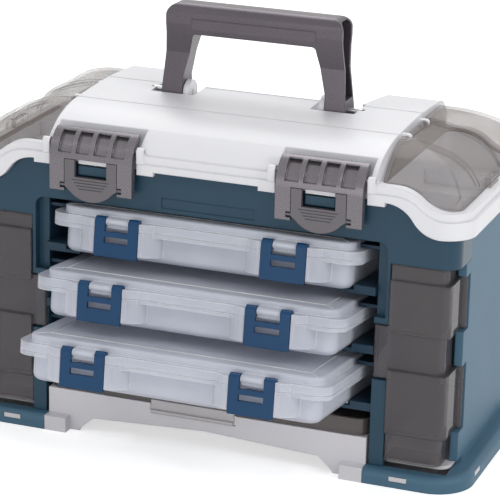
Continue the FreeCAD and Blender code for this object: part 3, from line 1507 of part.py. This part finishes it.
def box_latch():
    """Blue latch of the right-hand side of a box: two prongs, a slot and a nib under the flange."""
    middle = S.box_latch_x
    half = S.box_latch_half
    front = -S.box_pivot_y - S.box_prong_round
    back = front + S.box_latch_thick
    pieces = [block(middle - half, middle + half, front, back, S.box_latch_low, S.box_pivot_z)]
    prong_in = half - S.box_prong_wide
    for hand in (1, -1):
        x0, x1 = span(hand, prong_in, half)
        pieces.append(rod("x", middle + x0, -S.box_pivot_y, S.box_pivot_z, S.box_prong_round, x1 - x0))
    opening = block(middle - prong_in, middle + prong_in, front - S.cut_over,
                    S.box_prong_round + S.cut_over, S.box_prong_low,
                    S.box_pivot_z + S.box_prong_round + S.cut_over)
    slot = block(middle - S.box_slot_half, middle + S.box_slot_half, front - S.cut_over,
                 back + S.cut_over, S.box_slot_low, S.box_slot_low + S.box_slot_high)
    trims = [block(middle - S.box_nib_half, middle + S.box_nib_half, front + S.box_latch_thick / 2,
                   S.box_nib_back, S.box_nib_low, S.box_nib_low + S.box_nib_high)]
    for hand in (1, -1):
        x0, x1 = span(hand, prong_in - S.box_pin_long, prong_in + S.box_pin_long)
        trims.append(rod("x", middle + x0, -S.box_pivot_y, S.box_pivot_z, S.box_pin, x1 - x0))
    return fuse(cut(fuse(*pieces), opening, slot), *trims)


def boxes():
    right_latch = box_latch()
    masters = {"tub": box_tub(), "lid": box_lid(), "dividers": box_dividers(),
               "left_latch": mirror(right_latch), "right_latch": right_latch}
    turn = FreeCAD.Rotation(FreeCAD.Vector(1, 0, 0), -S.box_tilt.value)
    for level in range(3):
        y, z = box_seat(level)
        for name, master in masters.items():
            copy = group(master)
            copy.Placement = FreeCAD.Placement(FreeCAD.Vector(), turn)
            copy.setExpression("Placement.Rotation.Angle", f"{(-S.box_tilt).text} * 1 deg")
            bind(copy, "Placement.Base.z", z)
            keep(copy, f"box_{level + 1}_{name}", y + SHIFT)


# Shallow drawer

def base_drawer():
    half = S.drawer_half
    wall = S.drawer_wall
    low = S.base_top + S.run_gap
    front = S.drawer_front
    back = S.drawer_back
    small = S.drawer_round / 3
    top = low + S.drawer_front_high
    outer = rounded(-half, half, front, back, low, top, S.drawer_round, small)
    inner = rounded(-half + wall, half - wall, front + wall, back - wall, low + wall,
                    top + S.cut_over, S.drawer_round - wall, small - wall / 2)
    over_body = block(-half - S.cut_over, half + S.cut_over, front + S.drawer_lip_deep,
                      back + S.cut_over, low + S.drawer_body_high, top + S.cut_over)
    keep(cut(outer, inner, over_body), "base_drawer")
    left = -S.notch_left + S.pull_slack
    right = S.notch_right - S.pull_slack
    pull = fuse(block(left, right, front - S.pull_thick, front, S.pull_low, S.pull_high),
                block(left, right, front - S.pull_thick - S.pull_lip, front, S.pull_low,
                      S.pull_low + S.pull_lip))
    keep(pull, "drawer_pull")


def build():
    front_frame()
    outer_shell()
    base_tray()
    racks()
    bulk_tray()
    lid_hinge_pins()
    bait_doors()
    lid_shell()
    well_dividers()
    handle_pins()
    handle()
    end_covers()
    latch_frames()
    latch_paddles()
    boxes()
    base_drawer()
    doc.recompute()


def check():
    """Every object is up to date and every sub-part is a valid solid or group of solids."""
    bad = [item.Name for item in doc.Objects if "Invalid" in item.State or "Error" in item.State]
    if bad:
        raise RuntimeError(f"not up to date: {bad}")
    for label, part in made.items():
        if part.Shape.isNull() or not part.Shape.isValid() or not part.Shape.Solids:
            raise RuntimeError(f"{label} has no valid shape")


def write():
    os.makedirs("parts", exist_ok=True)
    for label, part in made.items():
        part.Shape.exportStep(f"parts/{label}.step")
        box = part.Shape.BoundBox
        print(f"{label}: {len(part.Shape.Solids)} solids, {part.Shape.Volume / 1000:.1f} cm3,"
              f" x {box.XMin:.1f}..{box.XMax:.1f}, y {box.YMin:.1f}..{box.YMax:.1f},"
              f" z {box.ZMin:.1f}..{box.ZMax:.1f}")


build()
check()
write()
print(f"shift {SHIFT.value:.4f}, {len(made)} sub-parts")
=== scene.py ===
# %% [markdown]
# # A tackle cabinet, from frame to finish
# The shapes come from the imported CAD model. It holds every moulding, hinge and latch at its real
# size. This lesson gives them their finishes, adds the ribs on the box lids, and lights them.
# All lengths are in metres, and the middle of the cabinet's outline on the floor is the origin.

# %% Load the frame
import math

import bpy
from mathutils import Matrix, Vector


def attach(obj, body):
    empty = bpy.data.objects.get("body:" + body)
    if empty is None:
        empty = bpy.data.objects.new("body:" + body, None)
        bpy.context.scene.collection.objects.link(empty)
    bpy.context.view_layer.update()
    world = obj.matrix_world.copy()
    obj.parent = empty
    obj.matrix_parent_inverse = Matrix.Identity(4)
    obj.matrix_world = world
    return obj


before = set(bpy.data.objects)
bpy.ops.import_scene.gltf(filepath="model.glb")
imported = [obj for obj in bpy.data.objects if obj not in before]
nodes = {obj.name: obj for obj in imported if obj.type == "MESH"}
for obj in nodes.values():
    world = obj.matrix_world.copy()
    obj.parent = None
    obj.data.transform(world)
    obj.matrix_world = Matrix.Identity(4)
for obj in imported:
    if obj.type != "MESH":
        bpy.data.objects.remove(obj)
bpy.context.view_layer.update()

# %% [markdown]
# ## The view
# A long lens from the front right, a little above the lid, as a catalogue photograph is taken.
# Yaw, pitch and roll turn the camera, and the place is where lines of the cabinet cross the frame
# as they do in the photograph. A lens this long keeps upright edges almost parallel.

# %% Camera
YAW, PITCH, ROLL = math.radians(20.38), math.radians(18.25), math.radians(-1.28)
CAMERA_PLACE = Vector((0.7280, -1.91435, 0.8418))
LENS_MM = 178.8
SENSOR_MM = 36
FARTHEST = 60
forward = Vector((-math.sin(YAW) * math.cos(PITCH), math.cos(YAW) * math.cos(PITCH),
                  -math.sin(PITCH)))
level = Vector((math.cos(YAW), math.sin(YAW), 0))
up = level.cross(forward)
right = math.cos(ROLL) * level - math.sin(ROLL) * up
top = math.sin(ROLL) * level + math.cos(ROLL) * up
lens = bpy.data.cameras.new("long_lens")
lens.sensor_width = SENSOR_MM
lens.lens = LENS_MM
lens.clip_end = FARTHEST
camera = bpy.data.objects.new("long_lens", lens)
axes = Matrix((right, top, -forward)).transposed().to_4x4()
camera.matrix_world = Matrix.Translation(CAMERA_PLACE) @ axes
bpy.context.scene.collection.objects.link(camera)
bpy.context.scene.camera = camera
bpy.context.scene.view_settings.view_transform = "Standard"
print("camera at", [round(value, 3) for value in CAMERA_PLACE])

# %% [markdown]
# ## Colours and nodes
# Colours are picked as sRGB hex values, as a paint chart gives them, and Blender's nodes want
# linear light, so one function turns one into the other. A second small function adds a node,
# sets it and links it, which keeps each material short enough to read.

# %% Helpers for materials
def linear(code):
    """An sRGB hex colour as a linear RGBA tuple."""
    parts = [int(code[place:place + 2], 16) / 255 for place in (1, 3, 5)]
    return tuple(part / 12.92 if part <= 0.04045 else ((part + 0.055) / 1.055) ** 2.4
                 for part in parts) + (1.0,)


def add(tree, kind, inputs=None, **settings):
    """Adds a node with its settings; each input is a value or the socket that feeds it."""
    node = tree.nodes.new(kind)
    for name, value in settings.items():
        setattr(node, name, value)
    for name, value in (inputs or {}).items():
        if isinstance(value, bpy.types.NodeSocket):
            tree.links.new(value, node.inputs[name])
        else:
            node.inputs[name].default_value = value
    return node


def new_material(name):
    """An empty node material with its output node."""
    material = bpy.data.materials.new(name)
    material.use_nodes = True
    material.node_tree.nodes.clear()
    return material, material.node_tree, material.node_tree.nodes.new("ShaderNodeOutputMaterial")


def finish(node_names, material):
    """Gives CAD nodes a material in place of their plain one."""
    for name in node_names:
        for slot in nodes[name].material_slots:
            slot.material = material
    print(material.name, "on", len(node_names), "nodes")


print("helpers ready")

# %% [markdown]
# ## Moulded plastics
# Nearly all of the cabinet is injection-moulded plastic. A moulding is never one flat colour: the
# pigment drifts a little, the tool's polish or spark grain gives the gloss its texture, and every
# edge has a small radius that catches the light. One recipe gives all three, from the real size
# of the grain in millimetres, and the Bevel node rounds the edges for the light alone.

# %% The recipe for an opaque moulding
MM_IN_METRE = 1000
CLOUD_SCALE = 14.0
# A noise rarely leaves this band, so ranges are read from it
NOISE_LOW, NOISE_HIGH = 0.3, 0.7
GLOSS_SWING = 0.04
GRAIN_STRENGTH = 0.5
EDGE_RAYS = 4


def moulding(name, colour, roughness, grain_mm, grain_height_mm, edge_mm, drift=0.06, **shader):
    """Opaque moulded plastic: pigment drift, grain, uneven gloss and soft edges."""
    material, tree, output = new_material(name)
    place = add(tree, "ShaderNodeTexCoord").outputs["Object"]
    cloud = add(tree, "ShaderNodeTexNoise", {"Vector": place, "Scale": CLOUD_SCALE, "Detail": 3.0})
    value = add(tree, "ShaderNodeMapRange", {"Value": cloud.outputs["Fac"],
                                             "From Min": NOISE_LOW, "From Max": NOISE_HIGH,
                                             "To Min": 1 - drift, "To Max": 1 + drift})
    tint = add(tree, "ShaderNodeHueSaturation", {"Value": value.outputs["Result"],
                                                 "Color": linear(colour)})
    grain = add(tree, "ShaderNodeTexNoise", {"Vector": place, "Scale": MM_IN_METRE / grain_mm,
                                             "Detail": 2.0, "Roughness": 0.6})
    gloss = add(tree, "ShaderNodeMapRange", {"Value": grain.outputs["Fac"],
                                             "From Min": NOISE_LOW, "From Max": NOISE_HIGH,
                                             "To Min": roughness - GLOSS_SWING,
                                             "To Max": roughness + GLOSS_SWING})
    edge = add(tree, "ShaderNodeBevel", {"Radius": edge_mm / MM_IN_METRE}, samples=EDGE_RAYS)
    bump = add(tree, "ShaderNodeBump", {"Height": grain.outputs["Fac"],
                                        "Strength": GRAIN_STRENGTH,
                                        "Distance": grain_height_mm / MM_IN_METRE,
                                        "Normal": edge.outputs["Normal"]})
    body = add(tree, "ShaderNodeBsdfPrincipled", {"Base Color": tint.outputs["Color"],
                                                  "Roughness": gloss.outputs["Result"],
                                                  "Normal": bump.outputs["Normal"], **shader})
    tree.links.new(body.outputs["BSDF"], output.inputs["Surface"])
    return material


print("recipe ready")

# %% [markdown]
# ## The blue-grey case
# The case is polypropylene, which is a little waxy. The front moulding is polished and reads
# darker and cleaner. The side and back shell has a fine spark grain, which scatters light at a
# low angle and looks paler from the corner. Its colour is also painted paler than the front's
# slate: painted light, standing in for the light that falls on the right side. White surroundings
# wash out a dark gloss, so the specular level is lower than the IOR alone gives, and the colour
# keeps its depth.

# %% Case finishes
case_front = moulding("polypropylene_polished_slate", "#264558", roughness=0.34, grain_mm=1.6,
                      grain_height_mm=0.02, edge_mm=1.2,
                      **{"IOR": 1.49, "Specular IOR Level": 0.3})
# Painted light: the shell's slate is a paler copy of the front's, as the lit right side reads
case_shell_painted_paler = moulding("polypropylene_grained_slate_painted_paler", "#466a80", roughness=0.5, grain_mm=1.1,
                      grain_height_mm=0.12, edge_mm=1.5,
                      **{"IOR": 1.49, "Specular IOR Level": 0.4})
case_liner = moulding("polypropylene_slate_liner", "#22394a", roughness=0.5, grain_mm=1.6,
                      grain_height_mm=0.03, edge_mm=0.8,
                      **{"IOR": 1.49, "Specular IOR Level": 0.3})
finish(["front_frame"], case_front)
finish(["outer_shell"], case_shell_painted_paler)
finish(["left_rack", "right_rack", "bulk_tray"], case_liner)

# %% [markdown]
# ## The pale mouldings
# The lid is white polypropylene with a satin skin, and the base is a light grey one. White parts
# show their form by shade alone, so their pigment hardly drifts. A little light enters the white
# plastic and leaves beside the place, which softens its shadows.

# %% Lid and base finishes
lid_white = moulding("polypropylene_satin_white", "#ececf0", roughness=0.36, grain_mm=1.4,
                     grain_height_mm=0.015, edge_mm=1.6, drift=0.012,
                     **{"IOR": 1.49, "Subsurface Weight": 0.06, "Subsurface Scale": 0.004})
base_grey = moulding("polypropylene_light_grey", "#dddbdf", roughness=0.42, grain_mm=1.3,
                     grain_height_mm=0.03, edge_mm=1.2, drift=0.02, **{"IOR": 1.49})
pull_grey = moulding("styrene_mid_grey", "#c4c0c1", roughness=0.32, grain_mm=1.3,
                     grain_height_mm=0.02, edge_mm=0.8, drift=0.03, **{"IOR": 1.55})
finish(["lid_shell"], lid_white)
finish(["base_tray"], base_grey)
finish(["drawer_pull"], pull_grey)

# %% [markdown]
# ## Metallic nylon
# The handle and the front latches are nylon with an aluminium pigment. The flakes give a grey
# that is part metal and part plastic, with brighter edges. A fine noise stands for the flakes,
# drawn at about a millimetre, because real ones are too fine to show at this size.

# %% Handle and latch finishes
latch_grey = moulding("nylon_metallic_grey", "#736f74", roughness=0.26, grain_mm=1.0,
                      grain_height_mm=0.008, edge_mm=1.1, drift=0.04,
                      **{"IOR": 1.53, "Metallic": 0.55})
paddle_grey = moulding("nylon_metallic_grey_paddle", "#666267", roughness=0.36, grain_mm=1.0,
                       grain_height_mm=0.008, edge_mm=0.6, drift=0.04,
                       **{"IOR": 1.53, "Metallic": 0.3})
handle_grey = moulding("nylon_metallic_warm_grey", "#5a545a", roughness=0.3, grain_mm=1.0,
                       grain_height_mm=0.015, edge_mm=1.6, drift=0.05,
                       **{"IOR": 1.53, "Metallic": 0.5})
finish(["left_latch_frame", "right_latch_frame"], latch_grey)
finish(["left_latch_paddle", "right_latch_paddle"], paddle_grey)
finish(["handle"], handle_grey)

# %% [markdown]
# ## Blue latches
# Each utility box closes with two latches of dark blue polypropylene, glossy from the tool.

# %% Box latch finish
box_blue = moulding("polypropylene_gloss_blue", "#08406a", roughness=0.2, grain_mm=1.2,
                    grain_height_mm=0.01, edge_mm=0.8, drift=0.05,
                    **{"IOR": 1.49, "Specular IOR Level": 0.3})
finish([name for name in nodes if name.startswith("box_") and name.endswith("_latch")], box_blue)

# %% [markdown]
# ## Clear and smoke plastics
# The boxes are clear polypropylene, which is milky: some light passes, some is scattered. The
# corner doors and the end covers are smoke-tinted polycarbonate, which stays clear. Thin walls
# bend light very little, so the walls are made partly transparent by alpha, and the gloss and the
# edges still show. An edge is seen through more plastic than a face. Where the rounded normal of
# the Bevel node leaves the flat one, the recipe turns to the edge's colour and density: white
# strokes on the milky boxes, dark ones on the smoke parts. A facing test does the same, weaker,
# where a wall is seen at a slant. Real refraction would need far more samples for little gain.

# %% The recipe for a see-through moulding
RIPPLE_STRENGTH = 0.4
# Cosines of the turn of the rounded normal at which an edge starts and is full
EDGE_STARTS, EDGE_FULL = 0.97, 0.8
SLANT_BLEND, SLANT_STARTS = 0.35, 0.3
MILK_SCALE, MILK_SWING = 25.0, 0.08


def clear_moulding(name, colour, edge_colour, alpha, edge_alpha, roughness, grain_mm,
                   grain_height_mm, edge_mm, slant_share, **shader):
    """Thin see-through plastic, denser and in its edge colour where light runs along its wall."""
    material, tree, output = new_material(name)
    place = add(tree, "ShaderNodeTexCoord").outputs["Object"]
    ripple = add(tree, "ShaderNodeTexNoise", {"Vector": place, "Scale": MM_IN_METRE / grain_mm,
                                              "Detail": 2.0})
    edge = add(tree, "ShaderNodeBevel", {"Radius": edge_mm / MM_IN_METRE}, samples=EDGE_RAYS)
    bump = add(tree, "ShaderNodeBump", {"Height": ripple.outputs["Fac"],
                                        "Strength": RIPPLE_STRENGTH,
                                        "Distance": grain_height_mm / MM_IN_METRE,
                                        "Normal": edge.outputs["Normal"]})
    flat = add(tree, "ShaderNodeNewGeometry")
    turn = add(tree, "ShaderNodeVectorMath", {0: edge.outputs["Normal"],
                                              1: flat.outputs["Normal"]},
               operation="DOT_PRODUCT")
    rim = add(tree, "ShaderNodeMapRange", {"Value": turn.outputs["Value"],
                                           "From Min": EDGE_STARTS, "From Max": EDGE_FULL})
    facing = add(tree, "ShaderNodeLayerWeight", {"Blend": SLANT_BLEND})
    slant = add(tree, "ShaderNodeMapRange", {"Value": facing.outputs["Facing"],
                                             "From Min": SLANT_STARTS, "From Max": 1.0,
                                             "To Max": slant_share})
    thick = add(tree, "ShaderNodeMath", {0: rim.outputs["Result"], 1: slant.outputs["Result"]},
                operation="MAXIMUM")
    cloud = add(tree, "ShaderNodeTexNoise", {"Vector": place, "Scale": MILK_SCALE, "Detail": 2.0})
    milk = add(tree, "ShaderNodeMapRange", {"Value": cloud.outputs["Fac"],
                                            "From Min": NOISE_LOW, "From Max": NOISE_HIGH,
                                            "To Min": 1 - MILK_SWING, "To Max": 1 + MILK_SWING})
    dense = add(tree, "ShaderNodeMapRange", {"Value": thick.outputs["Value"], "To Min": alpha,
                                             "To Max": edge_alpha})
    solid = add(tree, "ShaderNodeMath", {0: dense.outputs["Result"], 1: milk.outputs["Result"]},
                operation="MULTIPLY", use_clamp=True)
    tint = add(tree, "ShaderNodeMixRGB", {"Fac": thick.outputs["Value"],
                                          "Color1": linear(colour),
                                          "Color2": linear(edge_colour)})
    body = add(tree, "ShaderNodeBsdfPrincipled", {"Base Color": tint.outputs["Color"],
                                                  "Roughness": roughness,
                                                  "Alpha": solid.outputs["Value"],
                                                  "Normal": bump.outputs["Normal"], **shader})
    tree.links.new(body.outputs["BSDF"], output.inputs["Surface"])
    return material


print("recipe ready")

# %% Box, door, cover, drawer and divider finishes
box_clear = clear_moulding("polypropylene_milky_clear", "#eff3ff", "#ffffff", alpha=0.46,
                           edge_alpha=0.98, roughness=0.08, grain_mm=6.0, grain_height_mm=0.01,
                           edge_mm=1.3, slant_share=0.35, **{"IOR": 1.49})
divider_clear = clear_moulding("polypropylene_divider_clear", "#eef0f7", "#ffffff", alpha=0.35,
                               edge_alpha=0.9, roughness=0.3, grain_mm=6.0, grain_height_mm=0.02,
                               edge_mm=0.8, slant_share=0.3, **{"IOR": 1.49})
door_smoke = clear_moulding("polycarbonate_smoke_door", "#666064", "#1a1618", alpha=0.42,
                            edge_alpha=0.94, roughness=0.05, grain_mm=9.0, grain_height_mm=0.003,
                            edge_mm=1.2, slant_share=0.5, **{"IOR": 1.58})
cover_smoke = clear_moulding("polycarbonate_smoke_cover", "#8c8079", "#3b3233", alpha=0.22,
                             edge_alpha=0.85, roughness=0.04, grain_mm=12.0,
                             grain_height_mm=0.003, edge_mm=1.6, slant_share=0.6,
                             **{"IOR": 1.58})
drawer_smoke = clear_moulding("styrene_smoke_drawer", "#6b6463", "#2b2626", alpha=0.6,
                              edge_alpha=0.95, roughness=0.12, grain_mm=9.0,
                              grain_height_mm=0.003, edge_mm=0.8, slant_share=0.5,
                              **{"IOR": 1.58})
finish([name for name in nodes if name.endswith(("_tub", "_lid"))], box_clear)
finish([name for name in nodes if name.endswith("_dividers")], divider_clear)
finish(["left_bait_door", "right_bait_door"], door_smoke)
finish(["base_drawer"], drawer_smoke)
finish(["left_end_cover", "right_end_cover"], cover_smoke)

# %% [markdown]
# ## Corner ribs on the box lids
# On the real boxes a raised line runs round each lid, and short ribs join its corners to the
# corners of the lid. They stiffen the thin top, and they catch the light as white strokes. The CAD
# lid has the line, so the ribs alone are modelled here, once, and copied to the other two lids.
# They could be cut into the lid instead, but four low bars on its surface are simpler.

# %% Measure the lids
BOX_TILT = math.radians(7)
FRONTWARD = Vector((0, -math.cos(BOX_TILT), math.sin(BOX_TILT)))
UPWARD = Vector((0, math.sin(BOX_TILT), math.cos(BOX_TILT)))
LINE_HIGH = 0.0005
LEVEL_SLACK = 0.0001


def lid_measures(name):
    """Where a lid's raised line lies: its height, rear edge, front edge and half width."""
    points = [point.co for point in nodes[name].data.vertices]
    high = max(point.dot(UPWARD) for point in points)
    line = [point for point in points if point.dot(UPWARD) > high - LEVEL_SLACK]
    runs = [point.dot(FRONTWARD) for point in line]
    return high, min(runs), max(runs), max(point.x for point in line)


lids = [lid_measures(f"box_{number}_lid") for number in (1, 2, 3)]
print("lid lines, m:", [[round(value, 4) for value in lid] for lid in lids])

# %% Model the four ribs of the first lid
RIB_LONG, RIB_WIDE, RIB_SUNK, RIB_SOFT = 0.012, 0.0012, 0.0001, 0.0002
DIAGONAL = math.pi / 4
high, rear, front, half = lids[0]
reach = RIB_LONG / 2 * math.sqrt(0.5)
bpy.ops.object.select_all(action="DESELECT")
bpy.ops.mesh.primitive_plane_add(size=1, location=(0, 0, 0))
ribs = bpy.context.active_object
bpy.ops.object.mode_set(mode="EDIT")
bpy.ops.mesh.select_all(action="SELECT")
bpy.ops.mesh.delete(type="VERT")
for x_side in (1, -1):
    for y_side, y_line in ((1, -rear), (-1, -front)):
        bpy.ops.mesh.select_all(action="DESELECT")
        bpy.ops.mesh.primitive_plane_add(size=1, location=(0, 0, 0))
        bpy.ops.transform.resize(value=(RIB_LONG, RIB_WIDE, 1), center_override=(0, 0, 0))
        bpy.ops.transform.rotate(value=-x_side * y_side * DIAGONAL, orient_axis="Z",
                                 center_override=(0, 0, 0))
        bpy.ops.transform.translate(value=(x_side * (half + reach), y_line + y_side * reach,
                                           high - LINE_HIGH - RIB_SUNK))
bpy.ops.mesh.select_all(action="SELECT")
bpy.ops.mesh.extrude_region_move(TRANSFORM_OT_translate={"value": (0, 0, LINE_HIGH + RIB_SUNK)})
bpy.ops.mesh.select_all(action="SELECT")
bpy.ops.mesh.normals_make_consistent(inside=False)
bpy.ops.mesh.bevel(offset=RIB_SOFT, segments=2, affect="EDGES")
bpy.ops.mesh.select_all(action="SELECT")
bpy.ops.transform.rotate(value=BOX_TILT, orient_axis="X", center_override=(0, 0, 0))
bpy.ops.object.mode_set(mode="OBJECT")
ribs.name = "box_1_lid_ribs"
ribs.data.materials.append(divider_clear)
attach(ribs, "box_1")
print(ribs.name, [round(value, 4) for value in ribs.dimensions])

# %% Copy the ribs to the other lids
for number, (other_high, other_rear, _, _) in ((2, lids[1]), (3, lids[2])):
    bpy.ops.object.select_all(action="DESELECT")
    ribs.select_set(True)
    bpy.context.view_layer.objects.active = ribs
    bpy.ops.object.duplicate()
    copy = bpy.context.active_object
    copy.name = f"box_{number}_lid_ribs"
    step = (other_high - high) * UPWARD + (other_rear - rear) * FRONTWARD
    bpy.ops.object.mode_set(mode="EDIT")
    bpy.ops.mesh.select_all(action="SELECT")
    bpy.ops.transform.translate(value=step)
    bpy.ops.object.mode_set(mode="OBJECT")
    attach(copy, f"box_{number}")
    print(copy.name, "moved by", [round(value, 4) for value in step])

# %% [markdown]
# ## Steel pins
# The lid and the handle turn on drawn steel rod. Drawing leaves fine lines along the rod.

# %% Pin finish
# The noise is stretched along the rod and fine across it, at 0.4 mm a line
ALONG_SCALE, ACROSS_SCALE = 20.0, 2500.0


def drawn_steel():
    """Steel rod with lines along X from the drawing die."""
    material, tree, output = new_material("steel_drawn_rod")
    place = add(tree, "ShaderNodeTexCoord").outputs["Object"]
    along = add(tree, "ShaderNodeMapping", {"Vector": place,
                                            "Scale": (ALONG_SCALE, ACROSS_SCALE, ACROSS_SCALE)})
    lines = add(tree, "ShaderNodeTexNoise", {"Vector": along.outputs["Vector"], "Scale": 1.0,
                                             "Detail": 2.0})
    gloss = add(tree, "ShaderNodeMapRange", {"Value": lines.outputs["Fac"], "To Min": 0.22,
                                             "To Max": 0.42})
    body = add(tree, "ShaderNodeBsdfPrincipled", {"Base Color": linear("#b9babd"),
                                                  "Metallic": 1.0,
                                                  "Roughness": gloss.outputs["Result"]})
    tree.links.new(body.outputs["BSDF"], output.inputs["Surface"])
    return material


finish(["lid_hinge_pins", "handle_pins"], drawn_steel())

# %% [markdown]
# ## The studio
# A white floor runs to the horizon. For the camera, and in gloss and glass, it shows nearly white,
# so that it reads as the photograph's paper, and it still darkens under the cabinet. The world
# does the same: full white where it is seen, and a weaker white where it only gives light.

# %% Floor and world
FLOOR_SIDE = 40
FLOOR_GLOW = 0.55
WORLD_LIGHT, WORLD_SEEN = 0.42, 1.0
WHITE = (1, 1, 1, 1)


def seen_rays(tree):
    """One for a ray from the camera, a gloss or a glass, and nothing for light on a surface."""
    path = add(tree, "ShaderNodeLightPath")
    seen = add(tree, "ShaderNodeMath", {0: path.outputs["Is Camera Ray"],
                                        1: path.outputs["Is Glossy Ray"]}, operation="ADD")
    seen = add(tree, "ShaderNodeMath", {0: seen.outputs["Value"],
                                        1: path.outputs["Is Transmission Ray"]},
               operation="ADD", use_clamp=True)
    return seen.outputs["Value"]


def paper_white():
    """Studio paper that shows white to the camera and keeps the shadow."""
    material, tree, output = new_material("paper_matt_white")
    place = add(tree, "ShaderNodeTexCoord").outputs["Object"]
    fibre = add(tree, "ShaderNodeTexNoise", {"Vector": place, "Scale": 300.0, "Detail": 2.0})
    bump = add(tree, "ShaderNodeBump", {"Height": fibre.outputs["Fac"], "Distance": 0.00005})
    paper = add(tree, "ShaderNodeBsdfPrincipled", {"Base Color": linear("#f4f4f4"),
                                                   "Roughness": 0.9,
                                                   "Specular IOR Level": 0.0,
                                                   "Normal": bump.outputs["Normal"]})
    glow = add(tree, "ShaderNodeMath", {0: seen_rays(tree), 1: FLOOR_GLOW}, operation="MULTIPLY")
    light = add(tree, "ShaderNodeEmission", {"Color": WHITE, "Strength": glow.outputs["Value"]})
    both = add(tree, "ShaderNodeAddShader", {0: paper.outputs["BSDF"],
                                             1: light.outputs["Emission"]})
    tree.links.new(both.outputs["Shader"], output.inputs["Surface"])
    return material


bpy.ops.object.select_all(action="DESELECT")
bpy.ops.mesh.primitive_plane_add(size=FLOOR_SIDE, location=(0, 0, 0))
floor = bpy.context.active_object
floor.name = "studio_floor"
floor.data.materials.append(paper_white())

world = bpy.data.worlds.new("studio")
bpy.context.scene.world = world
world.use_nodes = True
world.node_tree.nodes.clear()
strength = add(world.node_tree, "ShaderNodeMapRange", {"Value": seen_rays(world.node_tree),
                                                       "To Min": WORLD_LIGHT,
                                                       "To Max": WORLD_SEEN})
sky = add(world.node_tree, "ShaderNodeBackground", {"Color": WHITE,
                                                    "Strength": strength.outputs["Result"]})
add(world.node_tree, "ShaderNodeOutputWorld", {"Surface": sky.outputs["Background"]})
print("floor and world ready")

# %% [markdown]
# ## Lamps
# A wide soft box above and behind models the lid, a wide one in front fills the boxes and the
# base, and one on each side shapes the ends. The last is small, so that the curved covers and the
# latch shoulders carry a bright glint, as gloss does in the photograph.

# %% Five soft boxes
# Name, place, target, side and power in watts
LAMPS = [
    ("top_box", (-0.3, 1.1, 1.9), (0, 0, 0.25), 1.4, 18),
    ("right_box", (2.1, -0.6, 1.1), (0, 0, 0.2), 0.6, 12),
    ("left_box", (-1.5, -1.2, 1.7), (0, 0, 0.25), 0.3, 5),
    ("front_box", (0.1, -2.6, 0.3), (0, 0, 0.1), 1.6, 17),
    ("glint_box", (1.1, -1.1, 1.7), (0.1, 0, 0.25), 0.16, 2.5),
]


def soft_lamp(name, place, target, size, power):
    """A square soft box at a place, turned towards a target."""
    data = bpy.data.lights.new(name, "AREA")
    data.shape = "SQUARE"
    data.size = size
    data.energy = power
    lamp = bpy.data.objects.new(name, data)
    lamp.location = place
    lamp.rotation_euler = (Vector(target) - Vector(place)).to_track_quat("-Z", "Y").to_euler()
    bpy.context.scene.collection.objects.link(lamp)


for lamp_row in LAMPS:
    soft_lamp(*lamp_row)
print(len(LAMPS), "lamps")
